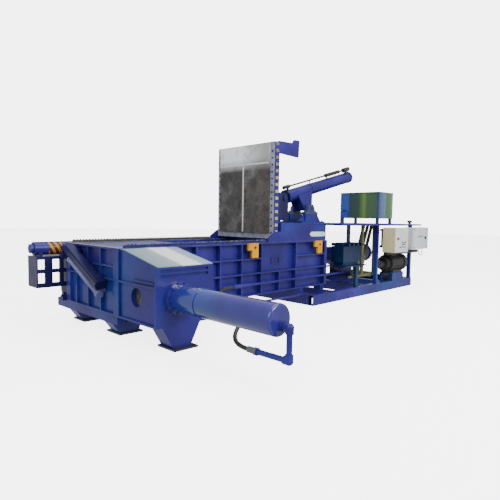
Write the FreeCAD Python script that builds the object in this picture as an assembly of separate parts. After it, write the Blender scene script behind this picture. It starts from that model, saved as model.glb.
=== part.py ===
import FreeCAD
import Part
import math
import os

os.makedirs("parts", exist_ok=True)

V = FreeCAD.Vector

# Working frame while building: X runs along the press box from its left end,
# Y runs from the front wall to the rear wall, Z is up from the floor. All in mm.

# ---- press box ----
BOX_L = 4600.0          # length along X
BOX_W = 1570.0          # width over the ribs
BOX_BASE = 300.0        # underside of the walls
BOX_TOP = 1200.0        # top of the walls
RIB_D = 90.0            # depth of the outside ribs
WALL_T = 40.0           # side wall plate
RIB_T = 25.0            # rib and rail plate
FLOOR_T = 100.0         # chamber floor
END_T = 45.0            # left end wall plate
END_RIB = 45.0          # depth of the ribs on the left end
HOOD_X = BOX_L - 1390.0         # left end of the raised hood
HOOD_H = 340.0          # hood height above the walls
HOOD_T = 25.0           # hood plate
RIB_X = 1775.0          # first tall rib
RIB_PITCH = 475.0       # pitch of the tall ribs
MID_RAIL_Z = 690.0      # middle rail
UP_RAIL_Z = 940.0       # upper rail
SLIDE_GAP = 0.5         # gap under a sliding piece
RUN_GAP = 0.3           # radial gap of a rod or shaft

# ---- bale chamber at the left end ----
CH_W = 470.0            # width of the bale chamber along X
CH_H = 585.0            # height of the bale chamber
ROOF_END = 1400.0       # right edge of the fixed roof
ROOF_T = 40.0           # roof plate
BLADE_H = 70.0          # height of the shear blades
BLADE_T = 26.0          # thickness of the shear blades
TOOTH = 50.0            # pitch of the blade teeth

# ---- side ram housing and its cylinder ----
SH_W = 863.0            # housing width along X
SH_D = 846.0            # how far it stands out of the front wall
SH_FRONT_TOP = 1020.0   # top of the housing at its front
SH_BACK_TOP = 1180.0    # top of the cover near the press box
SH_PLATE = 50.0         # housing plate
SIDE_AX_Z = 640.0       # height of the side cylinder
SIDE_BARREL_R = 165.0   # side cylinder barrel
SIDE_BORE_R = 125.0
SIDE_FLANGE_R = 205.0
SIDE_BOLT_PCD = 372.0
SIDE_FLANGE_T = 55.0
SIDE_BARREL_L = 1560.0
SIDE_ROD_R = 80.0
SIDE_STROKE = 1340.0    # travel of the cross ram
SIDE_RAM_L = 570.0
HOLE_R = 120.0          # round hole in the left side of the housing

# ---- main ram ----
RAM_X = HOOD_X - 45.0          # pressing face when drawn back
RAM_L = 900.0
MAIN_ROD_R = 105.0
MAIN_BORE_R = 160.0
MAIN_BARREL_R = 200.0
MAIN_BARREL_L = 2850.0
MAIN_AX_Z = 780.0
END_PLATE_T = 60.0

# ---- lid ----
HINGE_X = HOOD_X - 80.0
HINGE_Z = 1295.0
HINGE_R = 34.0
CHEEK_L = 260.0         # hinge plate, ahead of the hinge
LID_FACE_X = HINGE_X - 80.0     # flange face of the open lid
LID_T = 130.0
LID_TOP = 2970.0
LID_FOOT = 1255.0
LID_Y0 = 45.0           # gap between the lid and the outside of the box
WEAR_T = 40.0
WEAR_TOP_Z = 2600.0     # seam between the upper and lower wear plates
LEVER_R = 1239.4        # hinge to rod pin
LEVER_DEG = 36.91       # angle of that line at rest
LEVER_GAP = 120.0       # between the two lever plates
LEVER_T = 40.0
LEVER_LIFT = 40.0       # lower edge of the lever plates above the hood

# ---- lid cylinder ----
TILT_DEG = 14.0         # barrel slope at rest
SADDLE = 365.0          # pivot to barrel axis
PIVOT_X = BOX_L + 230.0
PIVOT_Z = 1840.0
LIDC_R = 128.0
LIDC_BORE = 85.0
LIDC_ROD = 50.0
LIDC_FRONT = 520.0      # barrel length ahead of the saddle
LIDC_BACK = 1920.0      # barrel length behind the saddle
TRUN_R = 45.0
BLOCK_OFF = LIDC_R + 80.0  # pillow blocks off the middle line
LIDC_LINE = 78.0        # steel line above the barrel

# ---- base frame, deck and power pack ----
BASE_X0 = BOX_L - 800.0
BASE_X1 = BOX_L + 3330.0
BASE_Y0 = -320.0
BASE_H = 200.0
RAIL_W = 120.0
DECK_Z = 1540.0
DECK_T = 40.0
DECK_X1 = BOX_L + 3700.0
DECK_Y0 = -370.0
DECK_Y1 = 1500.0
POST_W = 80.0
TANK_X = BOX_L + 2260.0
TANK_Y = 70.0
TANK_W = 720.0
TANK_D = 1060.0
TANK_H = 628.0
TANK_LEG = 122.0
TANK_T = 8.0
CROSS_X = [BASE_X0, BOX_L - RAIL_W, BOX_L + 1160.0, BOX_L + 2050.0, BASE_X1 - RAIL_W]  # cross rails
TRAY_Z = 60.0
TRAY_T = 12.0
MOTOR_X = BOX_L + 2260.0        # front face of the motors
MOTOR_Y = (-150.0, BOX_W - 280.0)
MOTOR_Z = 605.0
MAN_X = BOX_L + 440.0          # valve block
MAN_L = 700.0
RISER_X = (BOX_L + 1190.0, BOX_L + 1700.0)
LOW_LINE_X = BOX_L + 700.0
RISER_Y = BASE_Y0 + 175.0
RISER_R = 38.0
HEADER_Z = 400.0        # low line in front of the pumps
MOTOR_R = 205.0
MOTOR_L = 760.0
PANEL_A = (630.0, 300.0, 545.0)
PANEL_B = (860.0, 200.0, 525.0)
PANEL_T = 2.5
DOOR_T = 22.0

# ---- bale door and its cylinder ----
DOOR_W = 500.0
DOOR_D = 60.0
DOOR_TRAVEL = 485.0
GUIDE_L = 400.0         # how far the guide frame stands out to the left
GUIDE_Z0 = 520.0
GUIDE_Z1 = 990.0
GUIDE_D = 360.0
DC_R = 100.0
DC_L = 900.0
DC_ROD = 35.0

# ---- lock on the left end ----
LOCK_DEG = 24.5
LOCK_L = 1060.0
LOCK_CYL_L = 1000.0
LOCK_Y = 350.0          # lower end of the lock guide
LOCK_Z = 640.0
LOCK_W = 120.0
LOCK_TRAVEL = 160.0

# ---- feed line and hose ----
HOSE_R = 25.0
FEED_Z = 262.0          # height of the low feed line
FEED_TURN = 100.0       # how far the feed line stands off the cylinder's end
FEED_PIPE = 308.0       # reach of the steel line
FEED_HOSE = 440.0       # reach to the end of the hose ferrule
FEED_R = 30.0
ELBOW_R = 42.0
WALL_PIPE = (2000.0, -45.0, 505.0)

# ---- feet ----
FOOT_W = 360.0
FOOT_T = 25.0
ANCHOR_R = 13.0
ANCHOR_PITCH = 280.0

INNER_Y0 = RIB_D + WALL_T
INNER_Y1 = BOX_W - INNER_Y0
MID_Y = BOX_W / 2
FLOOR_Z = BOX_BASE + FLOOR_T
CH_X0 = END_RIB + END_T
CH_X1 = CH_X0 + CH_W
CH_TOP = FLOOR_Z + CH_H
SIDE_AX_X = CH_X0 + CH_W / 2
HOOD_TOP = BOX_TOP + HOOD_H


def box(x0, x1, y0, y1, z0, z1):
    return Part.makeBox(x1 - x0, y1 - y0, z1 - z0, V(x0, y0, z0))


def rod(p, d, length, r):
    return Part.makeCylinder(r, length, V(*p), V(*d))


def tube(p, d, length, r, bore):
    return rod(p, d, length, r).cut(rod(p, d, length, bore))


def prism_y(points, y0, y1):
    wire = Part.makePolygon([V(x, y0, z) for x, z in points + points[:1]])
    return Part.Face(wire).extrude(V(0, y1 - y0, 0))


def prism_x(points, x0, x1):
    wire = Part.makePolygon([V(x0, y, z) for y, z in points + points[:1]])
    return Part.Face(wire).extrude(V(x1 - x0, 0, 0))


def join(shapes):
    return shapes[0].multiFuse(shapes[1:]).removeSplitter()


def group(shapes):
    return Part.makeCompound(shapes)


def mirror_walls(shape):
    return shape.mirror(V(0, MID_Y, 0), V(0, 1, 0))


def hex_head(p, d, across, height):
    """A hexagon bolt head standing on p along d."""
    r = across / math.sqrt(3)
    pts = [V(r * math.cos(math.radians(60 * k)), r * math.sin(math.radians(60 * k)), 0) for k in range(7)]
    s = Part.Face(Part.makePolygon(pts)).extrude(V(0, 0, height))
    s.Placement = FreeCAD.Placement(V(*p), FreeCAD.Rotation(V(0, 0, 1), V(*d)))
    return s


def ring_bolts(centre, d, pcd, count, across, height, start=0.0):
    d = V(*d).normalize()
    side = V(0, 0, 1) if abs(d.z) < 0.9 else V(1, 0, 0)
    u = side.cross(d).normalize()
    w = d.cross(u)
    heads = []
    for k in range(count):
        a = math.radians(start + 360.0 * k / count)
        p = V(*centre) + u * (pcd / 2 * math.cos(a)) + w * (pcd / 2 * math.sin(a))
        heads.append(hex_head((p.x, p.y, p.z), (d.x, d.y, d.z), across, height))
    return heads


def path_wire(points):
    """Straight runs joined by tangent arcs; returns the wire and the arc radii."""
    pts = [V(*p) for p in points]
    edges = []
    radii = []
    last = pts[0]
    for i in range(1, len(pts) - 1):
        a = (pts[i - 1] - pts[i]).normalize()
        b = (pts[i + 1] - pts[i]).normalize()
        turn = math.pi - a.getAngle(b)
        if turn < 0.001:
            continue
        run = min((pts[i - 1] - pts[i]).Length, (pts[i + 1] - pts[i]).Length)
        cut = 0.45 * run
        r = cut / math.tan(turn / 2)
        radii.append(r)
        p0 = pts[i] + a * cut
        p1 = pts[i] + b * cut
        mid_dir = (a + b).normalize()
        centre = pts[i] + mid_dir * (r / math.cos(turn / 2))
        mid = centre - mid_dir * r
        edges.append(Part.LineSegment(last, p0).toShape())
        edges.append(Part.Arc(p0, mid, p1).toShape())
        last = p1
    edges.append(Part.LineSegment(last, pts[-1]).toShape())
    return Part.Wire(edges), radii


def pipe(points, r, bore=0.0):
    wire, radii = path_wire(points)
    start = V(*points[0])
    d = (V(*points[1]) - start).normalize()
    s = wire.makePipeShell([Part.Wire([Part.makeCircle(r, start, d)])], True, True)
    if bore:
        s = s.cut(wire.makePipeShell([Part.Wire([Part.makeCircle(bore, start, d)])], True, True))
    return s, wire, radii


# ---------------- press box ----------------

def side_wall(outlet_top):
    """Front wall: plate, flanges, rails and ribs, with the bale chamber opening."""
    parts = [box(0, BOX_L, RIB_D, INNER_Y0, BOX_BASE, BOX_TOP),
             box(0, BOX_L, 0, RIB_D, BOX_TOP - RIB_T, BOX_TOP),
             box(0, BOX_L, 0, RIB_D, BOX_BASE, BOX_BASE + RIB_T),
             box(0, BOX_L, 0, RIB_D, MID_RAIL_Z - RIB_T, MID_RAIL_Z)]
    rail_end = RIB_X + 2 * RIB_PITCH
    parts.append(box(SH_W, rail_end, 0, RIB_D, UP_RAIL_Z - RIB_T, UP_RAIL_Z))
    parts.append(box(RIB_X + 4 * RIB_PITCH, BOX_L, 0, RIB_D, UP_RAIL_Z - RIB_T, UP_RAIL_Z))
    for k in range(-1, 6):
        x = RIB_X + k * RIB_PITCH
        if k == 5:
            continue
        top = MID_RAIL_Z if k == 3 else BOX_TOP
        parts.append(box(x - RIB_T, x, 0, RIB_D, BOX_BASE, top))
    parts.append(box(BOX_L - RIB_T, BOX_L, 0, RIB_D, BOX_BASE, BOX_TOP))
    parts.append(box(0, RIB_T, 0, RIB_D, BOX_BASE, BOX_TOP))
    parts.append(box(CH_X1 + 60, SH_W, 0, RIB_D, BOX_BASE, BOX_TOP))
    wall = join(parts)
    gap = box(CH_X0, CH_X1, -5, INNER_Y0 + 5, FLOOR_Z, outlet_top)
    return wall.cut(gap)


def left_wall():
    y0 = INNER_Y0
    y1 = INNER_Y1
    parts = [box(END_RIB, CH_X0, y0, y1, BOX_BASE, BOX_TOP),
             box(0, END_RIB, y0, y1, BOX_TOP - RIB_T, BOX_TOP),
             box(0, END_RIB, y0, y1, BOX_BASE, BOX_BASE + RIB_T),
             box(0, END_RIB, y0, y1, MID_RAIL_Z + 75, MID_RAIL_Z + 100),
             box(0, END_RIB, y0, 700, UP_RAIL_Z, UP_RAIL_Z + RIB_T)]
    for k in range(3):
        y = y0 + 370 + k * 370
        parts.append(box(0, END_RIB, y - RIB_T, y, BOX_BASE, BOX_TOP))
    return join(parts)


def chamber_floor():
    plate = box(CH_X0, BOX_L, INNER_Y0, INNER_Y1, FLOOR_Z - 60, FLOOR_Z)
    keels = [box(CH_X0, BOX_L, y - 15, y + 15, BOX_BASE, FLOOR_Z - 60)
             for y in (INNER_Y0 + 160, MID_Y, INNER_Y1 - 160)]
    return join([plate] + keels)


def chamber_roof():
    """Thick block over the bale chamber and the fixed roof plate up to the charging opening."""
    block = box(CH_X0, CH_X1, INNER_Y0, INNER_Y1, CH_TOP, BOX_TOP - ROOF_T)
    hollow = box(CH_X0 + 40, CH_X1 - 40, INNER_Y0 + 40, INNER_Y1 - 40, CH_TOP + 50, BOX_TOP - ROOF_T)
    plate = box(CH_X0, ROOF_END, INNER_Y0, INNER_Y1, BOX_TOP - ROOF_T, BOX_TOP)
    return join([block.cut(hollow), plate])


def shear_blades():
    """Toothed strips bolted on top of both side walls beside the charging opening."""
    n = int((HINGE_X - CHEEK_L - CH_X0) / TOOTH)
    pts = [(CH_X0, BOX_TOP), (CH_X0 + n * TOOTH, BOX_TOP)]
    for k in range(n, 0, -1):
        pts.append((CH_X0 + k * TOOTH, BOX_TOP + 30))
        pts.append((CH_X0 + (k - 0.5) * TOOTH, BOX_TOP + BLADE_H * 0.75))
    pts.append((CH_X0, BOX_TOP + 30))
    y0 = LID_Y0 - BLADE_T - 6
    front = prism_y(pts, y0, y0 + BLADE_T)
    return group([front, mirror_walls(front)])


def hood():
    x1 = BOX_L
    outer = box(HOOD_X, x1, 0, BOX_W, BOX_TOP, HOOD_TOP)
    inner = box(HOOD_X + HOOD_T, x1 + 5, HOOD_T, BOX_W - HOOD_T, BOX_TOP + HOOD_T, HOOD_TOP - HOOD_T)
    web = box(HOOD_X, x1, MID_Y - 180, MID_Y - 150, BOX_TOP, HOOD_TOP)
    web2 = box(HOOD_X, x1, MID_Y + 150, MID_Y + 180, BOX_TOP, HOOD_TOP)
    return join([outer.cut(inner), web, web2])


def hinge_cheeks():
    """Plates outside the lid that carry the hinge pins."""
    z1 = HINGE_Z + 90
    pts = [(HINGE_X - CHEEK_L, BOX_TOP), (HOOD_X, BOX_TOP), (HOOD_X, z1), (HINGE_X - 60, z1),
           (HINGE_X - CHEEK_L, BOX_TOP + 60)]
    plate = prism_y(pts, 0, LID_Y0 - 8)
    plate = plate.cut(rod((HINGE_X, -5, HINGE_Z), (0, 1, 0), LID_Y0 + 10, HINGE_R + RUN_GAP))
    return group([plate, mirror_walls(plate)])


def lifting_hooks():
    """Flame-cut lugs at the top of each side wall."""
    hooks = []
    for x in (HOOD_X - 865, BOX_L - 400):
        pts = [(x, BOX_TOP - 4), (x + 240, BOX_TOP - 4), (x + 240, BOX_TOP - 250),
               (x + 90, BOX_TOP - 250), (x + 90, BOX_TOP - 120), (x, BOX_TOP - 120)]
        lug = prism_y(pts, -40, 0)
        pocket = rod((x + 165, -45, BOX_TOP - 80), (0, 1, 0), 50, 30)
        hooks.append(lug.cut(pocket))
    return group(hooks + [mirror_walls(h) for h in hooks])


def end_plate():
    p = box(BOX_L, BOX_L + END_PLATE_T, 0, BOX_W, BOX_BASE, BOX_TOP)
    return p.cut(rod((BOX_L - 5, MID_Y, MAIN_AX_Z), (1, 0, 0), END_PLATE_T + 10, MAIN_ROD_R + RUN_GAP))


# ---------------- side ram housing ----------------

def side_housing():
    y0 = -SH_D
    profile = [(y0, BOX_BASE), (0, BOX_BASE), (0, SH_BACK_TOP), (-85, SH_BACK_TOP), (y0, SH_FRONT_TOP)]
    outer = prism_x(profile, END_RIB - 15, SH_W)
    ram_space = box(CH_X0, CH_X1, y0 + SH_PLATE, 5, FLOOR_Z, CH_TOP + 2)
    over = prism_x([(y0 + SH_PLATE, CH_TOP + 30), (-30, CH_TOP + 30), (-30, 1300), (y0 + SH_PLATE, 1300)],
                   CH_X0, SH_W - SH_PLATE)
    over = over.cut(box(0, SH_W, y0, 5, 0, 800))
    side_space = box(CH_X1 + 40, SH_W - SH_PLATE, y0 + SH_PLATE, -30, BOX_BASE - 5, CH_TOP - 10)
    body = outer.cut(ram_space).cut(side_space).cut(over)
    body = body.cut(rod((SIDE_AX_X, y0 - 5, SIDE_AX_Z), (0, 1, 0), SH_PLATE + 10, SIDE_ROD_R + RUN_GAP))
    body = body.cut(rod((0, y0 / 2 + 40, 610), (1, 0, 0), CH_X0 + 10, HOLE_R))
    for k in range(2):
        z = SH_FRONT_TOP - 65 - k * 60
        body = body.cut(box(70, SH_W - 75, y0 - 5, y0 + 22, z, z + 34))
    shelf_z = MID_RAIL_Z + 75
    extra = [box(0, END_RIB - 15, y0, 0, shelf_z, shelf_z + RIB_T),
             box(0, END_RIB - 15, y0, 0, BOX_BASE, BOX_BASE + RIB_T),
             box(0, END_RIB - 15, y0, y0 + 25, BOX_BASE, SH_FRONT_TOP),
             box(0, END_RIB - 15, y0 + 40, -330, shelf_z + 55, shelf_z + 72),
             box(SH_W, SH_W + 20, y0, y0 + 25, BOX_BASE, SH_FRONT_TOP - 8),
             box(SH_W, SH_W + 20, y0, 0, BOX_BASE, BOX_BASE + RIB_T)]
    return join([body] + extra)


def side_cover():
    y0 = -SH_D
    t = 12
    pts = [(y0, SH_FRONT_TOP), (-85, SH_BACK_TOP), (-2, SH_BACK_TOP), (-2, SH_BACK_TOP + t),
           (-85, SH_BACK_TOP + t), (y0, SH_FRONT_TOP + t)]
    return prism_x(pts, END_RIB - 15, SH_W)


def side_barrel():
    y1 = -SH_D - SIDE_FLANGE_T
    y0 = y1 - SIDE_BARREL_L
    dome = 26
    body = rod((SIDE_AX_X, y0, SIDE_AX_Z), (0, 1, 0), SIDE_BARREL_L, SIDE_BARREL_R)
    edges = [e for e in body.Edges if abs(e.BoundBox.YMin - y0) < 1 and abs(e.BoundBox.YMax - y0) < 1]
    body = body.makeFillet(dome, edges)
    collar = rod((SIDE_AX_X, y1 - 430, SIDE_AX_Z), (0, 1, 0), 60, SIDE_BARREL_R + 8)
    bore = rod((SIDE_AX_X, y0 + 90, SIDE_AX_Z), (0, 1, 0), SIDE_BARREL_L, SIDE_BORE_R)
    return join([body, collar]).cut(bore)


def side_flange():
    y1 = -SH_D
    f = tube((SIDE_AX_X, y1 - SIDE_FLANGE_T, SIDE_AX_Z), (0, 1, 0), SIDE_FLANGE_T, SIDE_FLANGE_R,
             SIDE_ROD_R + RUN_GAP)
    return f


def side_ram():
    g = SLIDE_GAP
    return box(CH_X0 + g, CH_X1 - g, INNER_Y0 - SIDE_RAM_L, INNER_Y0, FLOOR_Z + g, CH_TOP - g)


def side_rod():
    y1 = INNER_Y0 - SIDE_RAM_L
    y0 = -SH_D - SIDE_FLANGE_T - SIDE_BARREL_L + 110
    shaft = rod((SIDE_AX_X, y0, SIDE_AX_Z), (0, 1, 0), y1 - y0, SIDE_ROD_R)
    piston = rod((SIDE_AX_X, y0, SIDE_AX_Z), (0, 1, 0), 90, SIDE_BORE_R - RUN_GAP)
    return join([shaft, piston])


# ---------------- main ram ----------------

def main_ram():
    g = SLIDE_GAP
    z1 = BOX_TOP - 50
    block = box(RAM_X, RAM_X + RAM_L, INNER_Y0 + g, INNER_Y1 - g, FLOOR_Z + g, z1)
    pocket = box(RAM_X + 80, RAM_X + RAM_L + 5, INNER_Y0 + 60, INNER_Y1 - 60, FLOOR_Z + 60, z1 - 60)
    seat = box(RAM_X + 80, RAM_X + 330, MID_Y - 170, MID_Y + 170, MAIN_AX_Z - 170, MAIN_AX_Z + 170)
    webs = [box(RAM_X + 80, RAM_X + RAM_L, MID_Y - 15, MID_Y + 15, FLOOR_Z + 60, MAIN_AX_Z - 170),
            box(RAM_X + 80, RAM_X + RAM_L, MID_Y - 15, MID_Y + 15, MAIN_AX_Z + 170, z1 - 60)]
    return join([block.cut(pocket), seat] + webs)


def main_rod():
    x0 = RAM_X + 330
    x1 = BOX_L + END_PLATE_T + MAIN_BARREL_L - 110
    shaft = rod((x0, MID_Y, MAIN_AX_Z), (1, 0, 0), x1 - x0, MAIN_ROD_R)
    piston = rod((x1 - 90, MID_Y, MAIN_AX_Z), (1, 0, 0), 90, MAIN_BORE_R - RUN_GAP)
    return join([shaft, piston])


def main_barrel():
    x0 = BOX_L + END_PLATE_T
    body = rod((x0, MID_Y, MAIN_AX_Z), (1, 0, 0), MAIN_BARREL_L, MAIN_BARREL_R)
    flange = rod((x0, MID_Y, MAIN_AX_Z), (1, 0, 0), 60, MAIN_BARREL_R + 55)
    cap = rod((x0 + MAIN_BARREL_L - 60, MID_Y, MAIN_AX_Z), (1, 0, 0), 60, MAIN_BARREL_R + 20)
    bore = rod((x0, MID_Y, MAIN_AX_Z), (1, 0, 0), MAIN_BARREL_L - 70, MAIN_BORE_R)
    return join([body, flange, cap]).cut(bore)


# ---------------- lid ----------------

def lever_pin():
    a = math.radians(LEVER_DEG)
    return HINGE_X + LEVER_R * math.cos(a), HINGE_Z + LEVER_R * math.sin(a)


def lid_frame():
    x0, x1 = LID_FACE_X, LID_FACE_X + LID_T
    y0, y1 = LID_Y0, BOX_W - LID_Y0
    t = 30
    shell = box(x0, x1, y0, y1, LID_FOOT, LID_TOP)
    parts = []
    rows = 4
    cols = 3
    dz = (LID_TOP - LID_FOOT - t) / rows
    dy = (y1 - y0 - t) / cols
    for i in range(rows):
        for j in range(cols):
            z = LID_FOOT + t + i * dz
            y = y0 + t + j * dy
            parts.append(box(x0 + t, x1 + 5, y, y + dy - t, z, z + dz - t))
    for p in parts:
        shell = shell.cut(p)
    hub = rod((HINGE_X, y0, HINGE_Z), (0, 1, 0), y1 - y0, 38)
    shell = join([shell, hub])
    pin = rod((HINGE_X, 2, HINGE_Z), (0, 1, 0), BOX_W - 4, HINGE_R)
    return join([shell, pin])


def wear_plates():
    x0, x1 = LID_FACE_X - WEAR_T, LID_FACE_X
    y0 = INNER_Y0 + 12
    y1 = BOX_W - y0
    z0 = LID_FOOT + 95
    gap = 8
    top = box(x0, x1, y0, y1, WEAR_TOP_Z + gap, LID_TOP - 18)
    near = box(x0, x1, y0, MID_Y - gap / 2, z0, WEAR_TOP_Z)
    far = box(x0, x1, MID_Y + gap / 2, y1, z0, WEAR_TOP_Z)
    return group([top, near, far])


def lid_bolts():
    heads = []
    x = LID_FACE_X
    pitch = 120
    n = int((LID_TOP - LID_FOOT - 140) / pitch)
    for y in (LID_Y0 + 50, BOX_W - LID_Y0 - 50):
        for k in range(n):
            heads.append(hex_head((x, y, LID_FOOT + 110 + k * pitch), (-1, 0, 0), 30, 12))
    return group(heads)


def lid_levers():
    ax, az = lever_pin()
    x0 = LID_FACE_X + LID_T
    z0 = HOOD_TOP + LEVER_LIFT
    plates = []
    for s in (-1, 1):
        y = MID_Y + s * (LEVER_GAP / 2 + LEVER_T / 2)
        pts = [(x0, z0), (ax + 105, z0), (ax + 110, az - 120), (ax + 95, az - 40), (ax + 60, az + 85),
               (ax - 60, az + 95), (x0, az + 190)]
        plate = prism_y(pts, y - LEVER_T / 2, y + LEVER_T / 2)
        cap_y = y + s * LEVER_T / 2
        cap = rod((ax, cap_y, az), (0, s, 0), 22, 62)
        plates.append(join([plate, cap]))
    # a cross web near the lid ties both plates together
    web = box(x0, x0 + 200, MID_Y - LEVER_GAP / 2, MID_Y + LEVER_GAP / 2, z0 + 60, z0 + 100)
    return join(plates + [web])


def lid_horn():
    x0 = LID_FACE_X + LID_T
    y0 = LID_Y0 + 10
    z1 = LID_TOP + 25
    pts = [(x0, z1 - 210), (x0 + 560, z1 - 235), (x0 + 575, z1 + 75), (x0 + 440, z1 + 75),
           (x0 + 400, z1 + 10), (x0, z1)]
    return prism_y(pts, y0, y0 + 45)


# ---------------- lid cylinder ----------------

def lid_axes():
    a = math.radians(TILT_DEG)
    t = V(math.cos(a), 0, math.sin(a))
    n = V(-math.sin(a), 0, math.cos(a))
    return t, n, V(PIVOT_X, MID_Y, PIVOT_Z) + n * SADDLE


def lid_barrel():
    t, n, c = lid_axes()
    p0 = c - t * LIDC_FRONT
    length = LIDC_FRONT + LIDC_BACK
    d = (t.x, t.y, t.z)
    body = rod((p0.x, p0.y, p0.z), d, length, LIDC_R)
    head = rod((p0.x, p0.y, p0.z), d, 70, LIDC_R + 16)
    tail = p0 + t * (length - 60)
    cap = rod((tail.x, tail.y, tail.z), d, 60, LIDC_R + 10)
    end = p0 + t * length
    eye = rod((end.x, end.y, end.z), d, 50, 24)
    step = p0 + t * (length / 3)
    band = rod((step.x, step.y, step.z), d, 30, LIDC_R + 6)
    # saddle: two cheeks and a cradle welded under the barrel, turning on the trunnion shaft
    cheeks = []
    for s in (-1, 1):
        y = MID_Y + s * (LIDC_R + 2)
        q = [c - t * 260 - n * 20, c + t * 240 - n * 20, V(PIVOT_X + 150, 0, PIVOT_Z + 40),
             V(PIVOT_X + 90, 0, PIVOT_Z - 60), V(PIVOT_X - 90, 0, PIVOT_Z - 60), V(PIVOT_X - 150, 0, PIVOT_Z + 40)]
        pts = [(v.x, v.z) for v in q]
        cheeks.append(prism_y(pts, y - 16, y + 16))
    web_pts = [c - t * 60 - n * (LIDC_R - 20), c + t * 60 - n * (LIDC_R - 20),
               V(PIVOT_X + 50, 0, PIVOT_Z), V(PIVOT_X - 50, 0, PIVOT_Z)]
    web = prism_y([(v.x, v.z) for v in web_pts], MID_Y - LIDC_R - 2, MID_Y + LIDC_R + 2)
    shaft = rod((PIVOT_X, MID_Y - BLOCK_OFF - 45, PIVOT_Z), (0, 1, 0), 2 * BLOCK_OFF + 90, TRUN_R)
    bore_len = length - 80
    bore = rod((p0.x, p0.y, p0.z), d, bore_len, LIDC_BORE)
    gland = tube((p0.x, p0.y, p0.z), d, 60, LIDC_BORE, LIDC_ROD + RUN_GAP)
    solid = join([body, head, cap, eye, band, web, shaft] + cheeks)
    return join([solid.cut(bore), gland])


def lid_rod():
    t, n, c = lid_axes()
    ax, az = lever_pin()
    pin = V(ax, MID_Y, az)
    along = (c - pin).dot(t)
    tip = c - t * along
    d = (t.x, t.y, t.z)
    p = tip + t * 60
    length = along + LIDC_BACK - 60 - 130
    shaft = rod((p.x, p.y, p.z), d, length, LIDC_ROD)
    q = p + t * (length - 60)
    piston = rod((q.x, q.y, q.z), d, 60, LIDC_BORE - RUN_GAP)
    eye = rod((tip.x, MID_Y - LEVER_GAP / 2 + 6, tip.z), (0, 1, 0), LEVER_GAP - 12, 88)
    hole = rod((tip.x, MID_Y - LEVER_GAP / 2, tip.z), (0, 1, 0), LEVER_GAP, 42)
    bush = rod((tip.x, MID_Y - LEVER_GAP / 2 + 3, tip.z), (0, 1, 0), LEVER_GAP - 6, 42)
    return join([join([shaft, eye, piston]).cut(hole), bush])


def lid_pipe():
    """Steel line clipped along the top of the lid cylinder, with its end fittings."""
    t, n, c = lid_axes()
    off = n * (LIDC_R + LIDC_LINE)
    y = MID_Y - 60
    d = (t.x, 0, t.z)
    parts = []
    # line, front fitting, thick middle fitting and tail fitting: start, length, radius
    for start, length, r in ((-600, 2400, 20), (-600, 180, 38), (900, 560, 42), (1640, 230, 52)):
        p = c + t * start + off
        parts.append(rod((p.x, y, p.z), d, length, r))
    for s, r in ((-470, 24), (300, 12), (950, 14), (1755, 34)):
        p = c + t * s + n * (LIDC_R - 30)
        parts.append(rod((p.x, y, p.z), (n.x, 0, n.z), LIDC_LINE + 30, r))
    return join(parts).cut(lid_barrel())


def lid_stand():
    base = box(PIVOT_X - 450, PIVOT_X + 350, MID_Y - BLOCK_OFF - 140, MID_Y + BLOCK_OFF + 140,
               HOOD_TOP, HOOD_TOP + 30)
    top = PIVOT_Z - 110
    parts = [base]
    for s in (-1, 1):
        y = MID_Y + s * BLOCK_OFF
        parts.append(box(PIVOT_X - 210, PIVOT_X + 210, y - 45, y + 45, HOOD_TOP + 30, top))
        parts.append(prism_y([(PIVOT_X - 210, HOOD_TOP + 30), (PIVOT_X - 210, top - 20),
                              (PIVOT_X - 400, HOOD_TOP + 30)], y - 12, y + 12))
        parts.append(prism_y([(PIVOT_X + 210, HOOD_TOP + 30), (PIVOT_X + 210, top - 10),
                              (PIVOT_X + 330, HOOD_TOP + 30)], y - 40, y + 40))
    return join(parts)


def pillow_blocks():
    blocks = []
    for s in (-1, 1):
        y = MID_Y + s * BLOCK_OFF
        z0 = PIVOT_Z - 110
        pts = [(PIVOT_X - 230, z0), (PIVOT_X + 230, z0), (PIVOT_X + 230, z0 + 45), (PIVOT_X + 130, z0 + 45),
               (PIVOT_X + 95, z0 + 150), (PIVOT_X + 50, PIVOT_Z + 90), (PIVOT_X - 50, PIVOT_Z + 90),
               (PIVOT_X - 95, z0 + 150), (PIVOT_X - 130, z0 + 45), (PIVOT_X - 230, z0 + 45)]
        b = prism_y(pts, y - 42, y + 42)
        blocks.append(b.cut(rod((PIVOT_X, y - 50, PIVOT_Z), (0, 1, 0), 100, TRUN_R + RUN_GAP)))
    return group(blocks)


# ---------------- base frame, deck and power pack ----------------

def channel_x(x0, x1, y0, y1, z0, z1, open_front):
    s = box(x0, x1, y0, y1, z0, z1)
    t = 14
    if open_front:
        return s.cut(box(x0 - 5, x1 + 5, y0 - 5, y1 - t, z0 + t, z1 - t))
    return s.cut(box(x0 - 5, x1 + 5, y0 + t, y1 + 5, z0 + t, z1 - t))


def base_rails():
    front = channel_x(BASE_X0, BASE_X1, BASE_Y0, BASE_Y0 + RAIL_W, 0, BASE_H, False)
    rear_y = BOX_W - RAIL_W
    rear = channel_x(BASE_X0, BASE_X1, rear_y, rear_y + RAIL_W, 0, BASE_H, True)
    return [front, rear]


def base_cross():
    y0, y1 = BASE_Y0 + RAIL_W, BOX_W - RAIL_W
    bars = []
    for x in CROSS_X:
        bars.append(box(x, x + RAIL_W, y0, y1, 0, BASE_H))
    return bars


def drip_tray():
    y0, y1 = BASE_Y0 + RAIL_W, BOX_W - RAIL_W
    return box(CROSS_X[3] + RAIL_W, BASE_X1 - RAIL_W, y0, y1, TRAY_Z, TRAY_Z + TRAY_T)


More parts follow.
